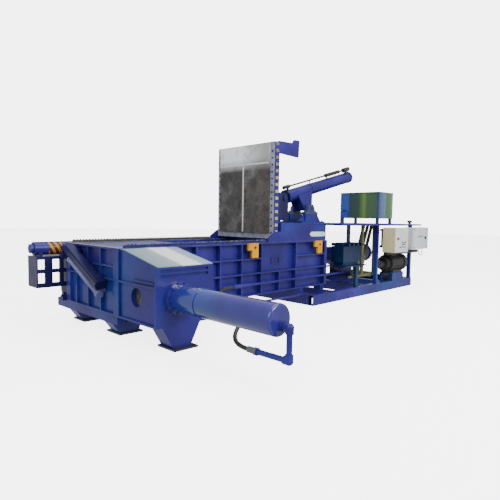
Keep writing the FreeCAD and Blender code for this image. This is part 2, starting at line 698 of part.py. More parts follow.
def box_legs():
    """Blocks that carry the press box on the base frame."""
    legs = []
    for y in (20.0, BOX_W - 20.0 - 160.0):
        legs.append(box(BASE_X0, BASE_X0 + RAIL_W, y, y + 160, BASE_H, BOX_BASE))
        legs.append(box(BOX_L - RAIL_W, BOX_L, y, y + 160, BASE_H, BOX_BASE))
    return legs


def deck_post_xs():
    return [BOX_L + 260.0, BOX_L + 1570.0, BASE_X1 - POST_W]


def deck_posts():
    """The first post of the front row is left out: the press box carries the deck there."""
    posts = []
    front, rear = BASE_Y0 + 20, BOX_W - RAIL_W + 20
    for k, x in enumerate(deck_post_xs()):
        for y in (front, rear) if k else (rear,):
            posts.append(box(x, x + POST_W, y, y + POST_W, BASE_H, DECK_Z - DECK_T))
    return posts


def deck_plate():
    top = box(BOX_L, DECK_X1, DECK_Y0, BOX_W, DECK_Z - 10, DECK_Z)
    rim = [box(BOX_L, DECK_X1, DECK_Y0, DECK_Y0 + 40, DECK_Z - DECK_T, DECK_Z),
           box(BOX_L, DECK_X1, BOX_W - 40, BOX_W, DECK_Z - DECK_T, DECK_Z),
           box(DECK_X1 - 40, DECK_X1, DECK_Y0, BOX_W, DECK_Z - DECK_T, DECK_Z),
           box(BOX_L, BOX_L + 40, DECK_Y0, BOX_W, DECK_Z - DECK_T, DECK_Z)]
    ribs = [box(x, x + POST_W, DECK_Y0, BOX_W, DECK_Z - DECK_T, DECK_Z) for x in deck_post_xs()]
    return [top] + rim + ribs


def deck():
    return join(deck_plate() + deck_posts() + [breather()])


def tank_z():
    return DECK_Z + TANK_LEG


def oil_tank():
    z0 = tank_z()
    body = box(TANK_X, TANK_X + TANK_W, TANK_Y, TANK_Y + TANK_D, z0, z0 + TANK_H)
    t = TANK_T
    body = body.cut(box(TANK_X + t, TANK_X + TANK_W - t, TANK_Y + t, TANK_Y + TANK_D - t, z0 + t, z0 + TANK_H - t))
    lip = box(TANK_X - 12, TANK_X + TANK_W + 12, TANK_Y - 12, TANK_Y + TANK_D + 12, z0 + TANK_H, z0 + TANK_H + 10)
    return join([body, lip])


def tank_legs():
    legs = []
    for x in (TANK_X + 15, TANK_X + TANK_W - 75):
        for y in (TANK_Y + 15, TANK_Y + TANK_D - 75):
            legs.append(box(x, x + 60, y, y + 60, DECK_Z, tank_z()))
    return legs


def tank_loop():
    """Bent return line from the tank's left face down to the deck."""
    z = tank_z() + 190
    y = TANK_Y + TANK_D - 120
    s, w, r = pipe([(TANK_X, y, z), (TANK_X - 150, y, z), (TANK_X - 150, y, DECK_Z)], 20)
    return s


def breather():
    x, y = DECK_X1 - 320, DECK_Y0 + 170
    neck = tube((x, y, DECK_Z), (0, 0, 1), 40, 34, 26)
    return neck


def breather_cap():
    x, y = DECK_X1 - 320, DECK_Y0 + 170
    z = DECK_Z + 40 + SLIDE_GAP
    cap = rod((x, y, z), (0, 0, 1), 46, 62)
    spigot = rod((x, y, z - 26), (0, 0, 1), 26, 26 - RUN_GAP)
    return join([cap, spigot])


def motor_spots():
    return [(MOTOR_X, y, MOTOR_Z) for y in MOTOR_Y]


def motors():
    out = []
    for x, y, z in motor_spots():
        body = rod((x, y, z), (1, 0, 0), MOTOR_L - 130, MOTOR_R - 22)
        fins = []
        n = 20
        for k in range(n):
            a = 360.0 * k / n
            fin = box(x + 20, x + MOTOR_L - 150, -4, 4, MOTOR_R - 40, MOTOR_R)
            fin.translate(V(0, y, z))
            fin.rotate(V(x, y, z), V(1, 0, 0), a)
            fins.append(fin)
        cowl = rod((x + MOTOR_L - 130, y, z), (1, 0, 0), 130, MOTOR_R)
        face = rod((x, y, z), (1, 0, 0), 24, MOTOR_R - 4)
        foot = box(x + 110, x + MOTOR_L - 190, y - 150, y + 150, z - MOTOR_R - 16, z - MOTOR_R + 40)
        term = box(x + 120, x + 330, y - 90, y + 90, z + MOTOR_R - 40, z + MOTOR_R + 60)
        out.append(join([body, cowl, face, foot, term] + fins))
    return group(out)


def motor_beds():
    beds = []
    for x, y, z in motor_spots():
        z1 = z - MOTOR_R - 16
        beds.append(join([box(x + 60, x + MOTOR_L - 140, y - 165, y - 130, 72, z1),
                          box(x + 60, x + MOTOR_L - 140, y + 130, y + 165, 72, z1),
                          box(x + 60, x + MOTOR_L - 140, y - 165, y + 165, z1 - 20, z1)]))
    return beds


def base_frame():
    return join(base_rails() + base_cross() + box_legs() + motor_beds())


def pumps():
    out = []
    for x, y, z in motor_spots():
        bell = rod((x - 150, y, z), (1, 0, 0), 150, 150)
        body = rod((x - 400, y, z), (1, 0, 0), 250, 95)
        head = box(x - 470, x - 400, y - 85, y + 85, z - 85, z + 85)
        out.append(join([bell, body, head]))
    return group(out)


def riser_pipes():
    """Olive oil lines between the deck, the pumps and the valve block."""
    top = DECK_Z - 10
    lines = []
    for x in RISER_X:
        lines.append(rod((x, RISER_Y, HEADER_Z + 30), (0, 0, 1), top - HEADER_Z - 30, RISER_R))
    lines.append(rod((LOW_LINE_X, RISER_Y, HEADER_Z), (1, 0, 0), RISER_X[1] + 80 - LOW_LINE_X, 32))
    x = RISER_X[1] - 110
    lines.append(rod((x, RISER_Y, HEADER_Z), (0, 1, 0), 480, 60))
    for y in (80.0, 180.0, 280.0):
        bent = [(x, y, HEADER_Z), (x, y, HEADER_Z + 160), (x + 230, y, 1130), (x + 380, y, top - 60),
                (x + 380, y, top)]
        lines.append(pipe(bent, RISER_R)[0])
    return join(lines)


def manifold():
    """Valve block on a shelf with its own leg, tied to the end plate."""
    post = deck_post_xs()[0] + POST_W
    x1 = MAN_X + MAN_L
    body = box(MAN_X, x1, -150, 150, 720, 1060)
    foot = box(MAN_X + 60, x1 - 60, -110, 110, 660, 720)
    shelf = box(post, x1 + 5, BASE_Y0 + 30, 160, 640, 660)
    tongue = box(BOX_L + END_PLATE_T, post, 40, 140, 640, 660)
    leg = box(MAN_X + 300, MAN_X + 380, BASE_Y0 + 40, BASE_Y0 + 100, BASE_H, 640)
    return join([body, foot, shelf, tongue, leg])


def valves():
    out = []
    for k in range(4):
        x = MAN_X + 30 + k * 165
        block = box(x, x + 130, -110, 90, 1060, 1130)
        coil = rod((x + 65, -240, 1095), (0, 1, 0), 130, 32)
        coil2 = rod((x + 65, 90, 1095), (0, 1, 0), 110, 32)
        out.append(join([block, coil, coil2]))
    return group(out)


# ---------------- control panels ----------------

def shell_box(x0, y0, z0, size):
    w, d, h = size
    s = box(x0, x0 + w, y0 + DOOR_T + SLIDE_GAP, y0 + d, z0, z0 + h)
    t = PANEL_T
    return s.cut(box(x0 + t, x0 + w - t, y0 - 5, y0 + d - t, z0 + t, z0 + h - t))


HINGE_AT = (0.18, 0.82)  # hinge heights as shares of a panel door
HINGE_PIN = 4.0
A0 = (BOX_L + 1640.0, -690.0, 912.0)
B0 = (BOX_L + 2740.0, -590.0, 936.0)


def panel_a():
    return shell_box(A0[0], A0[1], A0[2], PANEL_A)


def panel_b():
    return shell_box(B0[0], B0[1], B0[2], PANEL_B)


def panel_door(p, size):
    w, d, h = size
    face = box(p[0], p[0] + w, p[1], p[1] + DOOR_T, p[2], p[2] + h)
    inside = box(p[0] + 6, p[0] + w - 6, p[1] + 3, p[1] + DOOR_T + 5, p[2] + 6, p[2] + h - 6)
    hx, hy = hinge_line(p, size)
    parts = [face.cut(inside)]
    for f in HINGE_AT:
        z = p[2] + h * f
        parts.append(rod((hx, hy, z - 30), (0, 0, 1), 56, HINGE_PIN))
        parts.append(rod((hx, hy, z - 1.5), (0, 0, 1), 28, 8))
        parts.append(box(hx, p[0] + 0.5, hy - 7, hy - 2, z - 1.5, z + 26))
    return join(parts)


def door_a():
    d = panel_door(A0, PANEL_A)
    for x, z, r in control_spots():
        d = d.cut(rod((x, A0[1] - 5, z), (0, 1, 0), 20, r))
    return d


def door_b():
    d = panel_door(B0, PANEL_B)
    x, z, r = switch_spot()
    return d.cut(rod((x, B0[1] - 5, z), (0, 1, 0), 20, r))


def control_spots():
    z = A0[2] + PANEL_A[2] * 0.40
    return [(A0[0] + 110, z + 90, 11.3), (A0[0] + 330, z, 11.3), (A0[0] + 450, z, 11.3)]


def switch_spot():
    return B0[0] + PANEL_B[0] * 0.80, B0[2] + PANEL_B[2] * 0.52, 15.3


def round_button(x, y, z, r_head, depth, r_stem):
    head = rod((x, y - depth, z), (0, 1, 0), depth - 9, r_head)
    stem = rod((x, y - 9.5, z), (0, 1, 0), 40, r_stem)
    return join([head, stem])


def emergency_stop():
    x, z, r = control_spots()[0]
    return round_button(x, A0[1], z, 26, 34, r - RUN_GAP)


def start_button():
    x, z, r = control_spots()[1]
    return round_button(x, A0[1], z, 17, 19, r - RUN_GAP)


def selector():
    x, z, r = control_spots()[2]
    y = A0[1]
    base = rod((x, y - 12, z), (0, 1, 0), 11, 17)
    lever = box(x - 5, x + 5, y - 30, y - 12, z - 17, z + 17)
    stem = rod((x, y - 9, z), (0, 1, 0), 40, r - RUN_GAP)
    return join([base, lever, stem])


def main_switch():
    x, z, r = switch_spot()
    y = B0[1]
    base = rod((x, y - 16, z), (0, 1, 0), 15, 32)
    lever = box(x - 26, x + 26, y - 38, y - 16, z - 8, z + 8)
    stem = rod((x, y - 9, z), (0, 1, 0), 40, r - RUN_GAP)
    return join([base, lever, stem])


def hinge_line(p, size):
    """Outside hinge axis at the left edge of a panel door."""
    return p[0] - 9.0, p[1] + DOOR_T


def panel_hinges(p, size):
    hx, hy = hinge_line(p, size)
    out = []
    for f in HINGE_AT:
        z = p[2] + size[2] * f
        barrel = tube((hx, hy, z - 30), (0, 0, 1), 28, 8, HINGE_PIN + RUN_GAP)
        leaf = box(hx + HINGE_PIN + 1.5, p[0], hy + SLIDE_GAP + 1, hy + SLIDE_GAP + 6, z - 30, z - 2)
        out.append(join([barrel, leaf]))
    return out


def panel_frame():
    """Rails that carry both panels off the deck posts."""
    y1 = BASE_Y0 + 20
    ya = A0[1] + PANEL_A[1]
    yb = B0[1] + PANEL_B[1]
    x0, x1 = A0[0] + 30, B0[0] + PANEL_B[0] - 30
    rails = [box(x0, x1, y1 - 50, y1, z, z + 50) for z in (1010.0, 1380.0)]
    pads = []
    for z in (1010.0, 1380.0):
        pads.append(box(A0[0] + 60, A0[0] + PANEL_A[0] - 60, ya, y1 - 50, z, z + 50))
        pads.append(box(B0[0] + 60, B0[0] + PANEL_B[0] - 60, yb, y1 - 50, z, z + 50))
    upright = [box(x, x + 50, y1 - 50, y1, 1010, 1430) for x in (A0[0] + 100, B0[0] + 500)]
    return join(rails + pads + upright)


def cable_duct():
    """Dark trunking under the panels."""
    z1 = A0[2]
    return box(A0[0] + 40, B0[0] + PANEL_B[0] - 330, A0[1] + 200, A0[1] + 290, z1 - 62, z1)


# ---------------- bale door ----------------

DOOR_X0 = CH_X0 - 15.0
DOOR_Y0 = BOX_W + 2.0
GUIDE_Y = BOX_W + 2.0 + DOOR_D + SLIDE_GAP


RAIL_X1 = 1180.0        # right end of the door rails
CLEAR_X1 = 700.0        # the door never passes this line


def door_rails():
    """Grooved lower rail and outer upper rail that hold the bale door against the rear wall."""
    x0 = -60.0
    y1 = GUIDE_Y + 30
    low = box(x0, RAIL_X1, BOX_W, y1, FLOOR_Z - 90, FLOOR_Z - 12)
    low = low.cut(box(x0 - 5, CLEAR_X1, DOOR_Y0 - SLIDE_GAP, GUIDE_Y, FLOOR_Z - 30, FLOOR_Z))
    top = join([box(x0, RAIL_X1, GUIDE_Y, GUIDE_Y + 47, GUIDE_Z1, GUIDE_Z1 + 50),
                box(CLEAR_X1 + 60, RAIL_X1, BOX_W, GUIDE_Y, GUIDE_Z1, GUIDE_Z1 + 50)])
    return join([low, top])


def bale_door():
    plate = box(DOOR_X0, DOOR_X0 + DOOR_W, DOOR_Y0, DOOR_Y0 + DOOR_D, FLOOR_Z - 30 + SLIDE_GAP, CH_TOP + 30)
    return plate


def guide_frame():
    """Open frame that carries the drawn-out door and its cylinder."""
    x0 = -GUIDE_L
    y0 = GUIDE_Y + 30
    y1 = y0 + GUIDE_D
    z0, z1 = GUIDE_Z0, GUIDE_Z1
    t = 18
    mid = (z0 + z1) / 2 - 15
    low = FLOOR_Z - 12
    parts = [box(x0, x0 + t, y0, y1, z0, z1),
             box(x0, RAIL_X1, y0, y1, z1 - t, z1),
             box(x0, 160, y0, y0 + 50, z1 - 45, z1),
             box(x0, 160, y0, y0 + 50, mid, mid + 56),
             box(x0, 160, y0, y0 + 50, z0, z0 + 66),
             box(x0 + 128, x0 + 230, y0, y0 + 50, z0, z1),
             box(x0 + 345, x0 + 400, y0, y0 + 50, z0, z1),
             box(100, 160, GUIDE_Y, y1, low, z1),
             box(RAIL_X1 - 80, RAIL_X1 - 20, BOX_W, y1, low, z1)]
    return join(parts)


def door_axis():
    return GUIDE_Y + 30 + 110, GUIDE_Z1 + 20 + DC_R


def door_barrel():
    y, z = door_axis()
    x0 = -GUIDE_L - 60
    body = rod((x0 + 50, y, z), (1, 0, 0), DC_L - 50, DC_R)
    cap = rod((x0, y, z), (1, 0, 0), 50, DC_R - 30)
    gland = rod((x0 + DC_L - 50, y, z), (1, 0, 0), 50, DC_R + 12)
    bore = rod((x0 + 60, y, z), (1, 0, 0), DC_L, DC_R - 28)
    neck = tube((x0 + DC_L - 60, y, z), (1, 0, 0), 60, DC_R - 28, DC_ROD + RUN_GAP)
    return join([join([body, cap, gland]).cut(bore), neck])


def door_saddles():
    """Saddles that hold the door cylinder on the guide frame."""
    y, z = door_axis()
    out = []
    for x in (-GUIDE_L + 40, 250.0):
        s = box(x, x + 50, y - 100, y + 100, GUIDE_Z1, z + 10)
        out.append(s.cut(rod((x - 5, y, z), (1, 0, 0), 60, DC_R + RUN_GAP)))
    return out


def door_rod():
    y, z = door_axis()
    x0 = -GUIDE_L - 60
    x1 = x0 + DC_L + DOOR_TRAVEL + 60
    shaft = rod((x0 + DC_L - 200, y, z), (1, 0, 0), x1 - (x0 + DC_L - 200), DC_ROD)
    piston = rod((x0 + DC_L - 200, y, z), (1, 0, 0), 60, DC_R - 28 - RUN_GAP)
    lug = box(x1 - 30, x1 + 30, y - 60, y + 60, z - 60, z + 60)
    down = box(x1 - 30, x1 + 30, DOOR_Y0, y - 60, z - 60, z + 60)
    return join([shaft, piston, lug, down])


def door_arm():
    """Bar from the rod lug back to the bale door."""
    y, z = door_axis()
    x1 = -GUIDE_L - 60 + DC_L + DOOR_TRAVEL + 60
    xd = DOOR_X0 + DOOR_W
    z0 = CH_TOP + 70
    neck = box(xd - 160, xd, DOOR_Y0, DOOR_Y0 + DOOR_D, CH_TOP + 30, z0)
    return join([neck, box(xd - 160, x1 - 30, DOOR_Y0, DOOR_Y0 + DOOR_D, z0, z + 60)])


# ---------------- lock on the left end ----------------

def lock_frame():
    a = math.radians(LOCK_DEG)
    d = V(0, math.cos(a), math.sin(a))
    n = V(0, -math.sin(a), math.cos(a))
    return d, n, V(-150, LOCK_Y, LOCK_Z)


def lock_block(s0, s1, n0, n1, x0, x1):
    d, n, o = lock_frame()
    q = [o + d * s0 + n * n0, o + d * s1 + n * n0, o + d * s1 + n * n1, o + d * s0 + n * n1]
    return prism_x([(v.y, v.z) for v in q], x0, x1)


def lock_guide():
    w = LOCK_W
    body = lock_block(0, LOCK_L, 0, w, -140, -20)
    slot = lock_block(-5, LOCK_L + 5, 25, w - 25, -145, -60)
    wall = left_wall()
    pads = [lock_block(s, s + 90, 0, w, -20, END_RIB).cut(wall) for s in (60, LOCK_L - 200)]
    return join([body.cut(slot)] + pads)


def lock_bar():
    g = SLIDE_GAP
    w = LOCK_W
    return lock_block(10, LOCK_L + 20, 25 + g, w - 25 - g, -150, -60 - g)


def lock_barrel():
    d, n, o = lock_frame()
    p = o + d * (-40) - n * 75
    p = V(-80, p.y, p.z)
    dd = (d.x, d.y, d.z)
    body = rod((p.x, p.y, p.z), dd, LOCK_CYL_L, 40)
    cap = rod((p.x, p.y, p.z), dd, 60, 52)
    head = p + d * (LOCK_CYL_L - 40)
    gland = rod((head.x, head.y, head.z), dd, 40, 48)
    start = p + d * 20
    bore = rod((start.x, start.y, start.z), dd, LOCK_CYL_L, 30)
    neck = tube((head.x, head.y, head.z), dd, 40, 30, 18 + RUN_GAP)
    solid = join([join([body, cap, gland]).cut(bore), neck])
    wall = left_wall()
    ring = rod((p.x, p.y, p.z), dd, LOCK_CYL_L, 39)
    pads = [lock_block(s, s + 60, -105, -45, -50, END_RIB).cut(wall).cut(ring)
            for s in (60, LOCK_CYL_L - 240)]
    return join([solid] + pads)


def lock_rod():
    d, n, o = lock_frame()
    p = o + d * (-40) - n * 75
    p = V(-80, p.y, p.z)
    dd = (d.x, d.y, d.z)
    start = LOCK_CYL_L - 40 - 20 - 40 - LOCK_TRAVEL
    q = p + d * start
    shaft = rod((q.x, q.y, q.z), dd, LOCK_L + 100 - start, 18)
    piston = rod((q.x, q.y, q.z), dd, 40, 30 - RUN_GAP)
    yoke = lock_block(LOCK_L + 20, LOCK_L + 60, -115, LOCK_W - 20, -150, -40)
    return join([shaft, piston, yoke])


# ---------------- feet and lines ----------------

def left_beam():
    """Cross beams under the bale chamber; the first one also carries the guide frame."""
    far = GUIDE_Y + 30 + GUIDE_D - 20
    return [box(40, 160, 100, far, 170, BOX_BASE),
            box(380, 500, 100, BOX_W + 120, 170, BOX_BASE),
            box(100, 160, far - 80, far, BOX_BASE, FLOOR_Z - 12)]


def leg_blocks():
    out = []
    for y in (230.0, 1330.0):
        out.append(prism_y([(40, 170), (500, 170), (440, FOOT_T), (150, FOOT_T)], y, y + 220))
    return out


def pedestal():
    y0 = -SH_D
    return prism_y([(90, BOX_BASE), (663, BOX_BASE), (520, FOOT_T), (250, FOOT_T)], y0, y0 + 250)


def foot_centres():
    return [(405.0, -733.0), (308.0, 378.0), (308.0, 1440.0)]


def foot_plates():
    out = []
    for x, y in foot_centres():
        h = FOOT_W / 2
        plate = box(x - h, x + h, y - h, y + h, 0, FOOT_T)
        for sx in (-1, 1):
            for sy in (-1, 1):
                c = (x + sx * ANCHOR_PITCH / 2, y + sy * ANCHOR_PITCH / 2, -5)
                plate = plate.cut(rod(c, (0, 0, 1), FOOT_T + 10, ANCHOR_R))
        out.append(plate)
    return group(out)


def end_port():
    y = -SH_D - SIDE_FLANGE_T - SIDE_BARREL_L
    return SIDE_AX_X + 20, y, SIDE_AX_Z - 55


def feed_pipe():
    """End port, steel line with two forged elbows and the ferrule of the feed hose."""
    x, y, z = end_port()
    yt = y - FEED_TURN
    parts = [rod((x, yt, z), (0, 1, 0), FEED_TURN, FEED_R),
             rod((x, yt, FEED_Z), (0, 0, 1), z - FEED_Z, FEED_R),
             rod((x, yt, FEED_Z), (0, 1, 0), FEED_TURN + FEED_PIPE, FEED_R),
             rod((x, y - 30, z), (0, 1, 0), 30, ELBOW_R + 10),
             rod((x, y + FEED_PIPE, FEED_Z), (0, 1, 0), 40, ELBOW_R),
             rod((x, y + FEED_PIPE + 40, FEED_Z), (0, 1, 0), FEED_HOSE - FEED_PIPE - 40, HOSE_R + 9)]
    for zc, up in ((z, -1), (FEED_Z, 1)):
        parts.append(Part.makeSphere(ELBOW_R + 2, V(x, yt, zc)))
        parts.append(rod((x, yt, zc), (0, 1, 0), 62, ELBOW_R))
        parts.append(rod((x, yt, zc), (0, 0, up), 62, ELBOW_R))
    return join(parts)


def feed_hose_points():
    """Hose from the feed line's ferrule, up behind the barrel and across to the wall line."""
    x, y, z = end_port()
    y += FEED_HOSE
    wx, wy, wz = WALL_PIPE
    return [(x, y, FEED_Z), (x, y + 156, FEED_Z), (x + 140, y + 371, FEED_Z + 45),
            (x + 455, y + 561, FEED_Z + 128), (x + 775, y + 1031, FEED_Z + 158),
            (wx - 560, wy - 375, wz - 65), (wx - 320, wy, wz), (wx, wy, wz)]


def feed_hose():
    s, w, r = pipe(feed_hose_points(), HOSE_R)
    report_cord("feed_hose", s, w, r, HOSE_R)
    return s


def report_cord(name, s, w, radii, r):
    expect = math.pi * r * r * w.Length
    print(name, "length", round(w.Length, 1), "radii", [round(q) for q in radii],
          "volume ratio", round(s.Volume / expect, 4))


def wall_pipe():
    x, y, z = WALL_PIPE
    x1 = BOX_L + 600
    line = rod((x, y, z), (1, 0, 0), x1 - x, 20)
    coupling = rod((x, y, z), (1, 0, 0), 190, 34)
    up = rod((x1 - 20, y, z), (0, 0, 1), 640 - z, 20)
    clips = [box(cx - 20, cx + 20, y, 0, z - 14, z + 14) for cx in (2400.0, 3300.0, BOX_L - 300)]
    return join([line, coupling, up] + clips)


def floor_pipe():
    z = 215.0
    x0 = SH_W
    s, w, r = pipe([(x0, -420, 380), (x0 + 200, -420, 380), (x0 + 420, -150, z), (BASE_X0, -150, z)], 18)
    return s


def cable_points():
    """Slack loop between two glands under the larger panel."""
    x = B0[0] + 560
    y = B0[1] + 100
    z = B0[2]
    return [(x, y, z), (x, y, z - 90), (x + 60, y, z - 170), (x + 160, y, z - 170), (x + 220, y, z - 90),
            (x + 220, y, z)]


def panel_cable():
    s, w, r = pipe(cable_points(), 9.0)
    report_cord("panel_cable", s, w, r, 9.0)
    return s


def flange_bolts():
    heads = ring_bolts((SIDE_AX_X, -SH_D - SIDE_FLANGE_T, SIDE_AX_Z), (0, -1, 0), SIDE_BOLT_PCD,
                       12, 27, 15, 15)
    x0 = BOX_L + END_PLATE_T + 60
    heads += ring_bolts((x0, MID_Y, MAIN_AX_Z), (1, 0, 0), 456, 12, 27, 15, 15)
    return heads


def stand_bolts():
    heads = []
    for s in (-1, 1):
        y = MID_Y + s * BLOCK_OFF
        for dx in (-185, 185):
            heads.append(hex_head((PIVOT_X + dx, y, PIVOT_Z - 65), (0, 0, 1), 36, 22))
        for dx in (-400, 300):
            heads.append(hex_head((PIVOT_X + dx, MID_Y + s * (BLOCK_OFF + 100), HOOD_TOP + 30), (0, 0, 1), 36, 22))
    return heads


NODES = {
    "front_wall": lambda: side_wall(CH_TOP),
    "rear_wall": lambda: mirror_walls(side_wall(CH_TOP)),
    "left_wall": left_wall,
    "chamber_floor": chamber_floor,
    "chamber_roof": chamber_roof,
    "shear_blades": shear_blades,
    "hood": hood,
    "hinge_cheeks": hinge_cheeks,
    "lifting_hooks": lifting_hooks,
    "end_plate": end_plate,
    "side_housing": side_housing,
    "side_cover": side_cover,
    "side_cylinder": lambda: join([side_barrel(), side_flange()]),
    "side_ram": lambda: group([side_ram(), side_rod()]),
    "main_ram": lambda: group([main_ram(), main_rod()]),
    "main_cylinder": main_barrel,
    "hex_bolts": lambda: group(flange_bolts() + stand_bolts()),
    "lid_frame": lambda: join([lid_frame(), lid_horn()]),
    "lid_wear_plates": wear_plates,
    "lid_bolts": lid_bolts,
    "lid_levers": lid_levers,
    "lid_cylinder": lid_barrel,
    "lid_rod": lid_rod,
    "lid_pipe": lid_pipe,
    "lid_stand": lid_stand,
    "pillow_blocks": pillow_blocks,
    "base_frame": base_frame,
    "drip_tray": drip_tray,
    "deck": deck,
    "oil_tank": lambda: join([oil_tank()] + tank_legs()),
    "tank_loop": tank_loop,
    "breather_cap": breather_cap,
    "motors": motors,
    "pumps": pumps,
    "riser_pipes": riser_pipes,
    "valve_manifold": manifold,
    "solenoid_valves": valves,
    "panel_a": lambda: join([panel_a()] + panel_hinges(A0, PANEL_A)),
    "panel_b": lambda: join([panel_b()] + panel_hinges(B0, PANEL_B)),
    "panel_a_door": door_a,
    "panel_b_door": door_b,
    "emergency_stop": emergency_stop,
    "start_button": start_button,
    "selector_switch": selector,
    "main_switch": main_switch,
    "panel_frame": panel_frame,
    "cable_duct": cable_duct,
    "guide_frame": lambda: join([guide_frame(), door_rails()] + door_saddles()),
    "bale_door": lambda: join([bale_door(), door_arm()]),
    "door_cylinder": door_barrel,
    "door_rod": door_rod,
    "lock_guide": lock_guide,
    "lock_bar": lambda: join([lock_bar(), lock_rod()]),
    "lock_cylinder": lock_barrel,
    "leg_beams": lambda: join(left_beam() + leg_blocks() + [pedestal()]),
    "foot_plates": foot_plates,
    "feed_pipe": feed_pipe,
    "feed_hose": feed_hose,
    "box_pipes": lambda: group([wall_pipe(), floor_pipe()]),
    "panel_cable": panel_cable,
}

CORDS = ("feed_hose", "panel_cable")


def build_all():
    """Build every node and return them with the shift that centres the part."""
    shapes = {name: make() for name, make in NODES.items()}
    hard = Part.makeCompound([s for n, s in shapes.items() if n not in CORDS])
    bb = hard.BoundBox
    shift = V(-(bb.XMin + bb.XMax) / 2, -(bb.YMin + bb.YMax) / 2, -bb.ZMin)
    for s in shapes.values():
        s.translate(shift)
    return shapes, shift


def main():
    shapes, shift = build_all()
    for name, s in shapes.items():
        s.exportStep("parts/%s.step" % name)
    print(len(shapes), "nodes, shift", shift)


main()
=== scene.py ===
import bpy
import bmesh
import math
from mathutils import Matrix, Vector


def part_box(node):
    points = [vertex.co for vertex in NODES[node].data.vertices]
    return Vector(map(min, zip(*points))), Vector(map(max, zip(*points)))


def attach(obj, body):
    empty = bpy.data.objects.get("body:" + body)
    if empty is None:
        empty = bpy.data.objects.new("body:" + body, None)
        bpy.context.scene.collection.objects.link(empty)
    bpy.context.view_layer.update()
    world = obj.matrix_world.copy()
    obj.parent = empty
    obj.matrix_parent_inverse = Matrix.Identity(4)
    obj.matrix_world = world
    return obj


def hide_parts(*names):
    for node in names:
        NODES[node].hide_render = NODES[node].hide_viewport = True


# Looks of the recycling baler: painted and worn finishes, small marks, the two cords and the studio.
# Lengths are in metres.

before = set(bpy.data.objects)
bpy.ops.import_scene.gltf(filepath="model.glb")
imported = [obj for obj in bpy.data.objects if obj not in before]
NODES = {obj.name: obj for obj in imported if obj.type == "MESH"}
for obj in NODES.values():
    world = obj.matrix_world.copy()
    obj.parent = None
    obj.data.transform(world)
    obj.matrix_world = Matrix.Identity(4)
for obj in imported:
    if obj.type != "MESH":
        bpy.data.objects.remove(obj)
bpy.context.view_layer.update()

# The press box's left front corner on the floor.
WALL_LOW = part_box("front_wall")[0]
ORIGIN = Vector((WALL_LOW[0], WALL_LOW[1], 0.0))


def at(x, y, z):
    """A point given from the press box's corner."""
    return ORIGIN + Vector((x, y, z))


# ---------------- materials ----------------

def new_material(name):
    m = bpy.data.materials.new(name)
    m.use_nodes = True
    nt = m.node_tree
    nt.nodes.clear()
    out = nt.nodes.new("ShaderNodeOutputMaterial")
    bsdf = nt.nodes.new("ShaderNodeBsdfPrincipled")
    nt.links.new(bsdf.outputs[0], out.inputs[0])
    return m, nt, bsdf


def coords(nt):
    n = nt.nodes.new("ShaderNodeTexCoord")
    return n.outputs["Object"]


def noise(nt, vec, scale, detail=4.0, rough=0.55, stretch=None):
    if stretch:
        mp = nt.nodes.new("ShaderNodeMapping")
        mp.inputs["Scale"].default_value = stretch
        nt.links.new(vec, mp.inputs[0])
        vec = mp.outputs[0]
    n = nt.nodes.new("ShaderNodeTexNoise")
    n.inputs["Scale"].default_value = scale
    n.inputs["Detail"].default_value = detail
    n.inputs["Roughness"].default_value = rough
    nt.links.new(vec, n.inputs["Vector"])
    return n.outputs[0]


def ramp(nt, fac, stops):
    r = nt.nodes.new("ShaderNodeValToRGB")
    e = r.color_ramp.elements
    e[0].position, e[0].color = stops[0][0], (*stops[0][1], 1)
    e[1].position, e[1].color = stops[-1][0], (*stops[-1][1], 1)
    for p, c in stops[1:-1]:
        k = e.new(p)
        k.color = (*c, 1)
    nt.links.new(fac, r.inputs[0])
    return r.outputs[0]


def scalar(nt, fac, low, high, a=0.3, b=0.7):
    r = nt.nodes.new("ShaderNodeMapRange")
    r.inputs["From Min"].default_value = a
    r.inputs["From Max"].default_value = b
    r.inputs["To Min"].default_value = low
    r.inputs["To Max"].default_value = high
    nt.links.new(fac, r.inputs["Value"])
    return r.outputs[0]


def mix(nt, fac, a, b):
    m = nt.nodes.new("ShaderNodeMix")
    m.data_type = "RGBA"
    nt.links.new(fac, m.inputs[0])
    for sock, v in ((m.inputs[6], a), (m.inputs[7], b)):
        if isinstance(v, tuple):
            sock.default_value = (*v, 1)
        else:
            nt.links.new(v, sock)
    return m.outputs[2]


def math_node(nt, op, a, b=0.0):
    m = nt.nodes.new("ShaderNodeMath")
    m.operation = op
    for sock, v in ((m.inputs[0], a), (m.inputs[1], b)):
        if isinstance(v, (int, float)):
            sock.default_value = v
        else:
            nt.links.new(v, sock)
    return m.outputs[0]


def bump(nt, bsdf, height, strength, distance):
    b = nt.nodes.new("ShaderNodeBump")
    b.inputs["Strength"].default_value = strength
    b.inputs["Distance"].default_value = distance
    nt.links.new(height, b.inputs["Height"])
    nt.links.new(b.outputs[0], bsdf.inputs["Normal"])


def separate(nt, vec):
    s = nt.nodes.new("ShaderNodeSeparateXYZ")
    nt.links.new(vec, s.inputs[0])
    return s.outputs


def step(nt, value, edge):
    return math_node(nt, "GREATER_THAN", value, edge)


def between(nt, value, low, high):
    return math_node(nt, "MULTIPLY", step(nt, value, low), math_node(nt, "LESS_THAN", value, high))


def both(nt, *masks):
    out = masks[0]
    for m in masks[1:]:
        out = math_node(nt, "MULTIPLY", out, m)
    return out


def gloss(nt, bsdf, v, rough, coat, peel):
    """Sheen of sprayed paint: slow roughness change, clear coat and a light orange peel."""
    nt.links.new(scalar(nt, noise(nt, v, 6.0, 4), rough[0], rough[1]), bsdf.inputs["Roughness"])
    bsdf.inputs["Specular IOR Level"].default_value = 0.3
    bsdf.inputs["Coat Weight"].default_value = coat
    bsdf.inputs["Coat Roughness"].default_value = 0.15
    bump(nt, bsdf, noise(nt, v, 120.0, 3), peel, 0.001)


